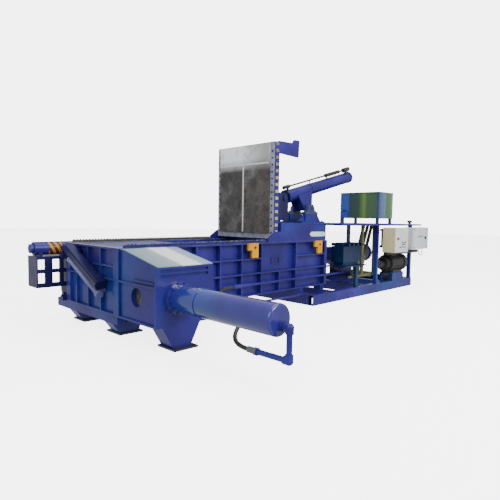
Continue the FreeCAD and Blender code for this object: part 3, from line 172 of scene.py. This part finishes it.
def paint(name, dark, base, light, rough=(0.28, 0.42), coat=0.12, peel=0.05):
    m, nt, bsdf = new_material(name)
    v = coords(nt)
    col = ramp(nt, noise(nt, v, 1.6, 5), [(0.32, dark), (0.5, base), (0.72, light)])
    nt.links.new(col, bsdf.inputs["Base Color"])
    gloss(nt, bsdf, v, rough, coat, peel)
    return m


NAVY = (0.0115, 0.0085, 0.110)
ROYAL = (0.0210, 0.0150, 0.185)
VIOLET = (0.044, 0.029, 0.300)
TEAL = (0.004, 0.050, 0.225)


def blue_colour(nt, v):
    """Violet blue enamel that drifts towards teal in wide soft patches, with faint vertical streaks of dust.
    """
    col = ramp(nt, noise(nt, v, 1.1, 5), [(0.30, NAVY), (0.5, ROYAL), (0.70, VIOLET)])
    drift = scalar(nt, noise(nt, v, 0.55, 2), 0.0, 0.75, 0.50, 0.66)
    col = mix(nt, drift, col, TEAL)
    scuff = noise(nt, v, 26.0, 6, 0.7, (1.0, 1.0, 0.35))
    return mix(nt, scalar(nt, scuff, 0.0, 0.22, 0.62, 0.74), col, (0.040, 0.045, 0.16))


def blue_enamel(name, rough=(0.26, 0.42), coat=0.12):
    m, nt, bsdf = new_material(name)
    v = coords(nt)
    nt.links.new(blue_colour(nt, v), bsdf.inputs["Base Color"])
    gloss(nt, bsdf, v, rough, coat, 0.05)
    return m


def metal(name, dark, light, rough=(0.3, 0.5), metallic=0.9, scale=9.0, stretch=None, peel=0.1):
    m, nt, bsdf = new_material(name)
    v = coords(nt)
    a = noise(nt, v, scale, 8, 0.62, stretch)
    nt.links.new(ramp(nt, a, [(0.3, dark), (0.7, light)]), bsdf.inputs["Base Color"])
    nt.links.new(scalar(nt, a, rough[1], rough[0]), bsdf.inputs["Roughness"])
    bsdf.inputs["Metallic"].default_value = metallic
    bump(nt, bsdf, noise(nt, v, 90.0, 4, 0.6, stretch), peel, 0.001)
    return m


def worn_plate(name, dark, mid, light):
    """Scraped liner plate: mill scale, rust shadows and long scratches."""
    m, nt, bsdf = new_material(name)
    v = coords(nt)
    blotch = noise(nt, v, 4.0, 10, 0.65)
    col = ramp(nt, blotch, [(0.3, dark), (0.48, mid), (0.66, light)])
    rust = scalar(nt, noise(nt, v, 9.0, 8, 0.7), 0.0, 0.55, 0.52, 0.74)
    col = mix(nt, rust, col, (0.16, 0.085, 0.04))
    scratch = noise(nt, v, 30.0, 3, 0.5, (8.0, 8.0, 0.25))
    nt.links.new(mix(nt, scalar(nt, scratch, 0.0, 0.5, 0.58, 0.7), col, (0.6, 0.58, 0.52)),
                 bsdf.inputs["Base Color"])
    nt.links.new(scalar(nt, blotch, 0.62, 0.34), bsdf.inputs["Roughness"])
    bsdf.inputs["Metallic"].default_value = 0.55
    bump(nt, bsdf, blotch, 0.25, 0.003)
    return m


def plain(name, dark, light, rough, scale=30.0, metallic=0.0, coat=0.0, peel=0.1):
    m, nt, bsdf = new_material(name)
    v = coords(nt)
    a = noise(nt, v, scale, 5)
    nt.links.new(ramp(nt, a, [(0.3, dark), (0.7, light)]), bsdf.inputs["Base Color"])
    nt.links.new(scalar(nt, a, rough * 0.85, rough * 1.15), bsdf.inputs["Roughness"])
    bsdf.inputs["Metallic"].default_value = metallic
    bsdf.inputs["Coat Weight"].default_value = coat
    bump(nt, bsdf, noise(nt, v, scale * 5, 3), peel, 0.0008)
    return m


BLUE = blue_enamel("blue_paint")
GLOSSY = blue_enamel("glossy_blue", (0.12, 0.24), 0.9)
INDIGO = paint("indigo_paint", (0.005, 0.0045, 0.040), (0.010, 0.0090, 0.070), (0.022, 0.018, 0.120))
LILAC = paint("lilac_paint", (0.090, 0.095, 0.250), (0.170, 0.175, 0.360), (0.290, 0.300, 0.480))
YELLOW = paint("yellow_paint", (0.50, 0.20, 0.001), (0.72, 0.33, 0.002), (0.80, 0.42, 0.006),
               (0.3, 0.5), 0.15)
WORN = worn_plate("worn_plate", (0.055, 0.05, 0.045), (0.19, 0.18, 0.165), (0.40, 0.39, 0.36))
DARKWORN = worn_plate("dark_worn", (0.02, 0.02, 0.022), (0.055, 0.055, 0.06), (0.17, 0.17, 0.18))
CHROME = metal("rod_chrome", (0.55, 0.56, 0.58), (0.75, 0.76, 0.78), (0.08, 0.16), 1.0, 6.0)
RUBBER = plain("black_rubber", (0.012, 0.012, 0.012), (0.035, 0.034, 0.032), 0.55)
BLACK = plain("black_steel", (0.008, 0.008, 0.010), (0.028, 0.028, 0.034), 0.4, 20.0, 0.0, 0.2)
GREY = paint("grey_paint", (0.035, 0.045, 0.11), (0.06, 0.075, 0.15), (0.10, 0.12, 0.20), (0.35, 0.5), 0.1)
IRON = plain("dark_iron", (0.008, 0.009, 0.010), (0.035, 0.036, 0.032), 0.5, 14.0, 0.0, 0.1, 0.3)
VALVE = paint("valve_paint", (0.002, 0.010, 0.045), (0.004, 0.020, 0.070), (0.008, 0.045, 0.120))
OLIVE = paint("olive_paint", (0.055, 0.060, 0.030), (0.11, 0.115, 0.060), (0.20, 0.20, 0.12),
              (0.35, 0.5), 0.1)
CREAM = paint("panel_cream", (0.62, 0.66, 0.68), (0.71, 0.75, 0.78), (0.80, 0.84, 0.86), (0.35, 0.5), 0.1)
RED = plain("red_plastic", (0.42, 0.012, 0.01), (0.60, 0.02, 0.015), 0.3, 40.0, 0.0, 0.4, 0.03)
GREENP = plain("green_plastic", (0.01, 0.20, 0.04), (0.02, 0.34, 0.07), 0.3, 40.0, 0.0, 0.4, 0.03)
BLACKP = plain("black_plastic", (0.010, 0.010, 0.010), (0.030, 0.030, 0.030), 0.45, 40.0)
SEAM = metal("weld_seam", (0.55, 0.56, 0.58), (0.90, 0.91, 0.92), (0.35, 0.5), 0.2, 30.0)
PALE = plain("plate_pale", (0.50, 0.66, 0.62), (0.78, 0.88, 0.86), 0.35, 5.0)

# Nodes that aren't named here or in a position-based finish below are plain blue.
FINISH = {
    "chamber_floor": WORN, "main_ram": WORN, "side_ram": DARKWORN,
    "side_cylinder": GLOSSY, "lock_cylinder": LILAC,
    "lid_levers": INDIGO, "lock_guide": INDIGO, "lock_bar": INDIGO, "guide_frame": INDIGO,
    "lifting_hooks": YELLOW, "pillow_blocks": GREY,
    "lid_bolts": BLACK, "lid_pipe": BLACK, "foot_plates": BLACK,
    "lid_rod": CHROME, "door_rod": CHROME,
    "motors": IRON, "pumps": IRON, "riser_pipes": OLIVE,
    "valve_manifold": VALVE, "solenoid_valves": VALVE,
    "panel_b": CREAM, "panel_b_door": CREAM,
    "emergency_stop": RED, "start_button": GREENP,
    "selector_switch": BLACKP, "main_switch": BLACKP, "cable_duct": BLACKP, "breather_cap": BLACKP,
    "feed_hose": RUBBER, "panel_cable": RUBBER,
}


def dress(node, material):
    o = NODES[node]
    if not o.material_slots:
        o.data.materials.append(material)
    for s in o.material_slots:
        s.material = material


for node in NODES:
    dress(node, FINISH.get(node, BLUE))


# ---------------- pieces with more than one finish ----------------

HAZARD_YELLOW = (0.50, 0.45, 0.12)
LID_FACE_X = ORIGIN.x + 3.050
LID_FRONT_Y = ORIGIN.y + 0.045
MARK_PITCH = 0.120
MARK_EDGE = MARK_PITCH * 0.29
MARK_FROM_Z, MARK_TO_Z = 1.36, 2.96
MARK_FROM_X, MARK_TO_X = LID_FACE_X + 0.038, LID_FACE_X + 0.112
WALL_MID_Y = ORIGIN.y + 0.785
WALL_TOP_Z = 1.200


def lid_finish():
    """Blue frame, silver flange round the wear plates and yellow blocks that brown towards the top."""
    m, nt, bsdf = new_material("lid_paint")
    v = coords(nt)
    x, y, z = separate(nt, v)
    col = blue_colour(nt, v)
    block = step(nt, math_node(nt, "PINGPONG", z, MARK_PITCH / 2), MARK_EDGE)
    front = math_node(nt, "LESS_THAN", y, LID_FRONT_Y + 0.002)
    marks = both(nt, block, front, between(nt, z, MARK_FROM_Z, MARK_TO_Z),
                 between(nt, x, MARK_FROM_X, MARK_TO_X))
    chips = scalar(nt, noise(nt, v, 40.0, 6, 0.7), 0.0, 0.8, 0.5, 0.7)
    worn_yellow = mix(nt, chips, HAZARD_YELLOW, (0.25, 0.20, 0.12))
    worn_yellow = mix(nt, scalar(nt, z, 0.0, 0.75, 2.2, 2.7), worn_yellow, (0.17, 0.10, 0.055))
    col = mix(nt, marks, col, worn_yellow)
    face = math_node(nt, "LESS_THAN", x, LID_FACE_X + 0.001)
    silver = ramp(nt, noise(nt, v, 7.0, 8, 0.65), [(0.3, (0.16, 0.165, 0.26)), (0.7, (0.42, 0.44, 0.54))])
    nt.links.new(mix(nt, face, col, silver), bsdf.inputs["Base Color"])
    gloss(nt, bsdf, v, (0.28, 0.42), 0.12, 0.05)
    return m


def liner_wear_and_glare():
    """Scraped liner plates: grey brown with rust and long scratches, with a painted highlight on the upper
    band: a near-white glare patch.
    """
    m, nt, bsdf = new_material("liner_plate")
    v = coords(nt)
    _, y, z = separate(nt, v)
    blotch = noise(nt, v, 3.5, 10, 0.68)
    col = ramp(nt, blotch, [(0.32, (0.020, 0.021, 0.023)), (0.5, (0.065, 0.065, 0.066)),
                            (0.68, (0.17, 0.168, 0.165))])
    near = scalar(nt, y, 0.9, 0.15, WALL_MID_Y - 0.45, WALL_MID_Y + 0.15)
    rust = both(nt, near, scalar(nt, noise(nt, v, 8.0, 9, 0.72), 0.0, 1.0, 0.44, 0.62))
    col = mix(nt, rust, col, (0.105, 0.084, 0.062))
    scratch = noise(nt, v, 48.0, 6, 0.65, (6.0, 6.0, 0.35))
    col = mix(nt, scalar(nt, scratch, 0.0, 0.55, 0.56, 0.68), col, (0.34, 0.34, 0.34))
    # painted highlight: a near-white glare patch high on the plates, where the metal sheen is turned off
    painted_glare = both(nt, scalar(nt, z, 0.0, 1.0, 2.48, 2.72),
                  scalar(nt, y, 0.40, 1.0, WALL_MID_Y - 0.5, WALL_MID_Y + 0.1),
                  scalar(nt, noise(nt, v, 5.0, 8, 0.7), 0.60, 1.0, 0.32, 0.46))
    nt.links.new(mix(nt, painted_glare, col, (0.97, 0.985, 1.0)), bsdf.inputs["Base Color"])
    nt.links.new(scalar(nt, blotch, 0.55, 0.32), bsdf.inputs["Roughness"])
    nt.links.new(scalar(nt, painted_glare, 0.35, 0.0, 0.0, 1.0), bsdf.inputs["Metallic"])
    bump(nt, bsdf, noise(nt, v, 22.0, 8, 0.7), 0.35, 0.003)
    return m


def tank_colour_and_reflection():
    """Green tank whose colour runs from blue at the rear edge, through green, to blue at the corner; the
    blue bands are partly the tank's own blue and partly painted reflection, and the yellow-green band is a
    painted highlight.
    """
    m, nt, bsdf = new_material("tank_paint_and_reflection")
    v = coords(nt)
    lo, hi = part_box("oil_tank")
    x, y, z = separate(nt, v)
    run = math_node(nt, "ADD", math_node(nt, "SUBTRACT", x, lo[0]), math_node(nt, "SUBTRACT", hi[1], y))
    share = math_node(nt, "DIVIDE", run, (hi[0] - lo[0]) + (hi[1] - lo[1]))
    # painted reflection and highlight: the blue bands are partly painted reflection, and the yellow-green
    # stop at 0.385 is a painted highlight
    col = ramp(nt, share, [
        (0.0, (0.012, 0.070, 0.34)), (0.135, (0.016, 0.085, 0.38)),
        (0.155, (0.012, 0.045, 0.07)), (0.30, (0.015, 0.070, 0.035)),
        (0.385, (0.14, 0.23, 0.05)), (0.42, (0.045, 0.12, 0.035)),
        (0.56, (0.045, 0.10, 0.070)), (0.60, (0.018, 0.030, 0.13)),
        (0.66, (0.05, 0.11, 0.26)), (0.78, (0.10, 0.18, 0.27)),
        (0.80, (0.045, 0.13, 0.05)), (0.93, (0.06, 0.17, 0.06)),
        (0.95, (0.20, 0.28, 0.17)), (1.0, (0.05, 0.14, 0.06)),
    ])
    leg_height, lip_height = 0.120, 0.012
    legs = math_node(nt, "LESS_THAN", z, lo[2] + leg_height)
    lip = step(nt, z, hi[2] - lip_height)
    col = mix(nt, legs, col, (0.006, 0.020, 0.14))
    nt.links.new(mix(nt, lip, col, (0.05, 0.12, 0.11)), bsdf.inputs["Base Color"])
    gloss(nt, bsdf, v, (0.16, 0.28), 0.45, 0.04)
    return m


def cover_plate_and_reflection():
    """Bare sloping cover plate with a painted reflection across it, brightest in the middle."""
    m, nt, bsdf = new_material("cover_plate")
    v = coords(nt)
    x = separate(nt, v)[0]
    lo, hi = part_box("side_cover")
    share = math_node(nt, "DIVIDE", math_node(nt, "SUBTRACT", x, lo[0]), hi[0] - lo[0])
    # painted reflection: grey-green left, near-white middle and blue-grey right bands stand in for the
    # surroundings mirrored in the plate
    tone = ramp(nt, share, [
        (0.0, (0.20, 0.30, 0.34)), (0.38, (0.30, 0.40, 0.43)), (0.46, (0.84, 0.88, 0.90)),
        (0.74, (0.86, 0.88, 0.90)), (0.80, (0.32, 0.42, 0.50)), (1.0, (0.24, 0.33, 0.44)),
    ])
    dirt = scalar(nt, noise(nt, v, 9.0, 8, 0.65), 0.0, 0.3, 0.52, 0.72)
    nt.links.new(mix(nt, dirt, tone, (0.26, 0.27, 0.26)), bsdf.inputs["Base Color"])
    nt.links.new(scalar(nt, noise(nt, v, 14.0, 5), 0.30, 0.45), bsdf.inputs["Roughness"])
    bsdf.inputs["Metallic"].default_value = 0.25
    bump(nt, bsdf, noise(nt, v, 60.0, 4), 0.08, 0.001)
    return m


def blade_colour_and_highlight():
    """Violet painted strip in front, bare dark strip behind, with a painted highlight on the top face."""
    m, nt, bsdf = new_material("blade_colour_and_highlight")
    v = coords(nt)
    _, y, z = separate(nt, v)
    rear = step(nt, y, WALL_MID_Y)
    steel = ramp(nt, noise(nt, v, 14.0, 8, 0.7), [(0.3, (0.015, 0.015, 0.014)), (0.7, (0.09, 0.085, 0.07))])
    violet = ramp(nt, noise(nt, v, 9.0, 6, 0.6), [(0.3, (0.004, 0.004, 0.05)), (0.7, (0.018, 0.018, 0.13))])
    # painted highlight: the blade's top face is lightened to pale grey in patches
    rim = both(nt, step(nt, z, 1.236), scalar(nt, noise(nt, v, 30.0, 5), 0.0, 0.6, 0.45, 0.6))
    col = mix(nt, rear, violet, steel)
    nt.links.new(mix(nt, rim, col, (0.30, 0.31, 0.36)), bsdf.inputs["Base Color"])
    gloss(nt, bsdf, v, (0.35, 0.5), 0.0, 0.1)
    return m


def banded_cylinder():
    """Blue door cylinder with a slanted orange and brown warning band near its left end."""
    m, nt, bsdf = new_material("cylinder_band")
    v = coords(nt)
    x, _, z = separate(nt, v)
    slant = math_node(nt, "ADD", x, math_node(nt, "MULTIPLY", z, 0.55))
    wave = step(nt, math_node(nt, "PINGPONG", slant, 0.045), 0.022)
    marks = mix(nt, wave, (0.05, 0.022, 0.010), (0.42, 0.18, 0.03))
    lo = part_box("door_cylinder")[0]
    inside = between(nt, x, lo[0] + 0.250, lo[0] + 0.450)
    nt.links.new(mix(nt, inside, blue_colour(nt, v), marks), bsdf.inputs["Base Color"])
    gloss(nt, bsdf, v, (0.3, 0.45), 0.1, 0.05)
    return m


def panel_finish():
    """Cream cabinet whose left side is a darker yellow."""
    m, nt, bsdf = new_material("panel_side")
    v = coords(nt)
    x = separate(nt, v)[0]
    left = math_node(nt, "LESS_THAN", x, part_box("panel_a")[0][0] + 0.022)
    cream = ramp(nt, noise(nt, v, 3.0, 4), [(0.3, (0.66, 0.70, 0.72)), (0.7, (0.80, 0.83, 0.85))])
    nt.links.new(mix(nt, left, cream, (0.62, 0.56, 0.33)), bsdf.inputs["Base Color"])
    gloss(nt, bsdf, v, (0.35, 0.5), 0.1, 0.04)
    return m


def wall_paint_and_highlight():
    """Blue box sides with a painted highlight in pale grey patches along the top faces."""
    m, nt, bsdf = new_material("box_wall")
    v = coords(nt)
    z = separate(nt, v)[2]
    # painted highlight: the top faces are lightened to pale grey in noisy patches
    highlight_patches = scalar(nt, noise(nt, v, 6.0, 8, 0.7), 0.1, 0.85, 0.40, 0.62)
    rim = both(nt, step(nt, z, WALL_TOP_Z - 0.0015), highlight_patches)
    nt.links.new(mix(nt, rim, blue_colour(nt, v), (0.32, 0.33, 0.38)), bsdf.inputs["Base Color"])
    gloss(nt, bsdf, v, (0.26, 0.42), 0.12, 0.05)
    return m


def feed_finish():
    """Blue steel line with a dark steel ferrule at the hose."""
    m, nt, bsdf = new_material("feed_line")
    v = coords(nt)
    _, y, z = separate(nt, v)
    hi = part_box("feed_pipe")[1]
    ferrule_length, ferrule_top = 0.132, 0.33
    end = both(nt, step(nt, y, hi[1] - ferrule_length), math_node(nt, "LESS_THAN", z, ferrule_top))
    nt.links.new(mix(nt, end, blue_colour(nt, v), (0.13, 0.135, 0.15)), bsdf.inputs["Base Color"])
    gloss(nt, bsdf, v, (0.25, 0.4), 0.1, 0.05)
    return m


dress("lid_frame", lid_finish())
dress("lid_wear_plates", liner_wear_and_glare())
dress("oil_tank", tank_colour_and_reflection())
dress("side_cover", cover_plate_and_reflection())
dress("shear_blades", blade_colour_and_highlight())
dress("door_cylinder", banded_cylinder())
dress("feed_pipe", feed_finish())
WALL = wall_paint_and_highlight()
for node in ("front_wall", "rear_wall", "left_wall"):
    dress(node, WALL)
PANEL = panel_finish()
for node in ("panel_a", "panel_a_door"):
    dress(node, PANEL)


# ---------------- small pieces ----------------

def solid_box(bm, low, high):
    made = bmesh.ops.create_cube(bm, size=1.0)["verts"]
    low, high = Vector(low), Vector(high)
    mid, span = (low + high) / 2, high - low
    for v in made:
        v.co = Vector((mid.x + v.co.x * span.x, mid.y + v.co.y * span.y, mid.z + v.co.z * span.z))


def piece(name, bm, material, body, bevel=0.0):
    me = bpy.data.meshes.new(name)
    bmesh.ops.recalc_face_normals(bm, faces=bm.faces)
    bm.to_mesh(me)
    bm.free()
    me.materials.append(material)
    o = bpy.data.objects.new(name, me)
    bpy.context.scene.collection.objects.link(o)
    if bevel:
        mod = o.modifiers.new("edge", "BEVEL")
        mod.width = bevel
        mod.segments = 2
    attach(o, body)


def weld_beads():
    """Welded seams between the three liner plates."""
    bm = bmesh.new()
    lo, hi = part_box("lid_wear_plates")
    x0, x1 = lo[0] - 0.004, lo[0] + 0.012
    seam_z = 2.604
    mid_y = (lo[1] + hi[1]) / 2
    solid_box(bm, (x0, mid_y - 0.016, lo[2] + 0.01), (x1, mid_y + 0.016, seam_z))
    solid_box(bm, (x0, lo[1] + 0.01, seam_z - 0.014), (x1, hi[1] - 0.01, seam_z + 0.014))
    piece("liner_seams", bm, SEAM, "lid", 0.004)


def name_plate():
    """Blank pale plate with pointed ends on the hood's front."""
    bm = bmesh.new()
    x0, x1, zc, h = 4.06, 4.60, 1.327, 0.045
    tip = 0.06
    outline = [(x0, zc), (x0 + tip, zc - h), (x1 - tip, zc - h),
               (x1, zc), (x1 - tip, zc + h), (x0 + tip, zc + h)]
    front = [bm.verts.new(at(x, -0.004, z)) for x, z in outline]
    back = [bm.verts.new(at(x, 0.0005, z)) for x, z in outline]
    bm.faces.new(front)
    bm.faces.new(back[::-1])
    for k in range(len(front)):
        n = (k + 1) % len(front)
        bm.faces.new((front[n], front[k], back[k], back[n]))
    piece("name_plate", bm, PALE, "frame")


def hatch():
    """Small square frame on the front wall's plate between two ribs."""
    bm = bmesh.new()
    x0, x1, z0, z1, w = 3.050, 3.270, 0.800, 0.930, 0.020
    y0, y1 = 0.078, 0.0905
    for low, high in (((x0, z0), (x1, z0 + w)), ((x0, z1 - w), (x1, z1)),
                      ((x0, z0 + w), (x0 + w, z1 - w)), ((x1 - w, z0 + w), (x1, z1 - w))):
        solid_box(bm, at(low[0], y0, low[1]), at(high[0], y1, high[1]))
    piece("wall_hatch_frame", bm, BLUE, "frame")


DOOR_FACE = 0.0225      # a cabinet door's face ahead of its box


def panel_marks():
    """Row of small studs and a dark strip on panel A's door."""
    bm = bmesh.new()
    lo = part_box("panel_a_door")[0]
    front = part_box("panel_a")[0][1] - DOOR_FACE
    for k in range(6):
        x = lo[0] + 0.22 + k * 0.055
        solid_box(bm, (x, front - 0.002, lo[2] + 0.105), (x + 0.022, front + 0.001, lo[2] + 0.127))
    solid_box(bm, (lo[0] + 0.36, front - 0.002, lo[2] + 0.168), (lo[0] + 0.49, front + 0.001, lo[2] + 0.186))
    piece("panel_a_marks", bm, BLACKP, "panel_a_door")


def panel_b_marks():
    """Screws at the corners of panel B's door and a row of small labels."""
    bm = bmesh.new()
    lo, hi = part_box("panel_b")
    front = lo[1] - DOOR_FACE
    for x in (lo[0] + 0.07, hi[0] - 0.07):
        for z in (lo[2] + 0.05, hi[2] - 0.05):
            solid_box(bm, (x - 0.012, front - 0.003, z - 0.012), (x + 0.012, front + 0.001, z + 0.012))
    for k in range(3):
        x = lo[0] + 0.30 + k * 0.10
        solid_box(bm, (x, front - 0.002, lo[2] + 0.30), (x + 0.045, front + 0.001, lo[2] + 0.325))
    piece("panel_b_marks", bm, BLACKP, "panel_b_door")


weld_beads()
name_plate()
hatch()
panel_marks()
panel_b_marks()


# ---------------- cords ----------------

def cord_curve(name, points, radius, material, body):
    c = bpy.data.curves.new(name, "CURVE")
    c.dimensions = "3D"
    c.bevel_depth = radius
    c.bevel_resolution = 5
    c.resolution_u = 12
    c.use_fill_caps = True
    s = c.splines.new("NURBS")
    s.points.add(len(points) - 1)
    for p, q in zip(s.points, points):
        p.co = (*q, 1.0)
    s.order_u = 3
    s.use_endpoint_u = True
    c.materials.append(material)
    o = bpy.data.objects.new(name, c)
    bpy.context.scene.collection.objects.link(o)
    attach(o, body)
    return o


WALL_END = Vector((2.000, -0.045, 0.505))
FEED_START = Vector((0.345, -2.021, 0.262))
HOSE_STEPS = [(0, 0.156, 0), (0.140, 0.371, 0.045), (0.455, 0.561, 0.128), (0.775, 1.031, 0.158)]
HOSE_END = [(-0.560, -0.375, -0.065), (-0.320, 0, 0), (0, 0, 0)]
HOSE = [FEED_START] + [FEED_START + Vector(q) for q in HOSE_STEPS] + [WALL_END + Vector(q) for q in HOSE_END]
HOSE = [ORIGIN + p for p in HOSE]
feed = cord_curve("feed_hose_curve", HOSE, 0.025, RUBBER, "frame")
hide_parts("feed_hose")

GLAND = (7.900, -0.490, 0.936)
LOOP_STEPS = [(0, 0), (0, -0.09), (0.06, -0.17), (0.16, -0.17), (0.22, -0.09), (0.22, 0)]
LOOP = [at(GLAND[0] + x, GLAND[1], GLAND[2] + z) for x, z in LOOP_STEPS]
cable = cord_curve("panel_cable_curve", LOOP, 0.009, RUBBER, "frame")
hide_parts("panel_cable")


# ---------------- floor, light and camera ----------------

FLOOR_HALF = 60
FLOOR_DROP = 0.0015
BACKDROP_RADIUS = 58


def stage_object(name, bm, base, glow, hidden, rough=None):
    """Glowing studio surface that the rays named in hidden don't see."""
    me = bpy.data.meshes.new(name)
    bm.to_mesh(me)
    bm.free()
    o = bpy.data.objects.new(name, me)
    bpy.context.scene.collection.objects.link(o)
    m, _, bsdf = new_material(name)
    bsdf.inputs["Base Color"].default_value = (*base, 1)
    if rough is not None:
        bsdf.inputs["Roughness"].default_value = rough
    bsdf.inputs["Emission Color"].default_value = (1.0, 1.0, 1.0, 1)
    bsdf.inputs["Emission Strength"].default_value = glow
    me.materials.append(m)
    for ray in hidden:
        setattr(o, "visible_" + ray, False)
    return o


def stage_floor():
    bm = bmesh.new()
    bmesh.ops.create_grid(bm, x_segments=1, y_segments=1, size=FLOOR_HALF)
    o = stage_object("floor", bm, (0.95, 0.95, 0.96), 4.0, ("diffuse", "glossy"), 0.9)
    o.location.z = -FLOOR_DROP


def backdrop():
    """White studio wall all round, seen only by the camera."""
    bm = bmesh.new()
    bmesh.ops.create_uvsphere(bm, u_segments=48, v_segments=24, radius=BACKDROP_RADIUS)
    bmesh.ops.reverse_faces(bm, faces=bm.faces)
    o = stage_object("backdrop", bm, (0, 0, 0), 5.5, ("diffuse", "glossy", "shadow", "transmission"))


stage_floor()
backdrop()


def area(name, loc, target, size, power):
    lamp = bpy.data.lights.new(name, "AREA")
    lamp.shape = "RECTANGLE"
    lamp.size, lamp.size_y = size
    lamp.energy = power
    o = bpy.data.objects.new(name, lamp)
    o.location = loc
    o.rotation_euler = (Vector(target) - Vector(loc)).to_track_quat("-Z", "Y").to_euler()
    bpy.context.scene.collection.objects.link(o)


area("key", (-0.5, -10.0, 6.5), (0, 0, 0.8), (6, 4), 1100)
area("top", (0.0, 0.0, 11.0), (0, 0, 0), (12, 8), 900)
area("fill", (-9.0, -3.0, 5.0), (-2, 0, 1), (5, 4), 250)

world = bpy.data.worlds.new("studio")
bpy.context.scene.world = world
world.use_nodes = True
SKY = world.node_tree.nodes["Background"]
SKY.inputs[0].default_value = (1.0, 1.0, 1.0, 1)
SKY.inputs[1].default_value = 0.7

SENSOR = 36.0
LENS = 0.884 * SENSOR
EYE = at(-2.86, -5.15, 1.6)
YAW, PITCH, ROLL = (math.radians(v) for v in (45.7, 4.0, 0.9))

cam = bpy.data.cameras.new("camera")
cam.sensor_width = SENSOR
cam.lens = LENS
cam_o = bpy.data.objects.new("camera", cam)
bpy.context.scene.collection.objects.link(cam_o)
bpy.context.scene.camera = cam_o
forward = Vector((math.sin(YAW) * math.cos(PITCH), math.cos(YAW) * math.cos(PITCH), -math.sin(PITCH)))
level = Vector((math.cos(YAW), -math.sin(YAW), 0.0))
up = level.cross(forward)
right = level * math.cos(ROLL) + up * math.sin(ROLL)
top = up * math.cos(ROLL) - level * math.sin(ROLL)
turn = Matrix((right, top, -forward)).transposed().to_4x4()
cam_o.matrix_world = Matrix.Translation(EYE) @ turn
cam.clip_end = 200
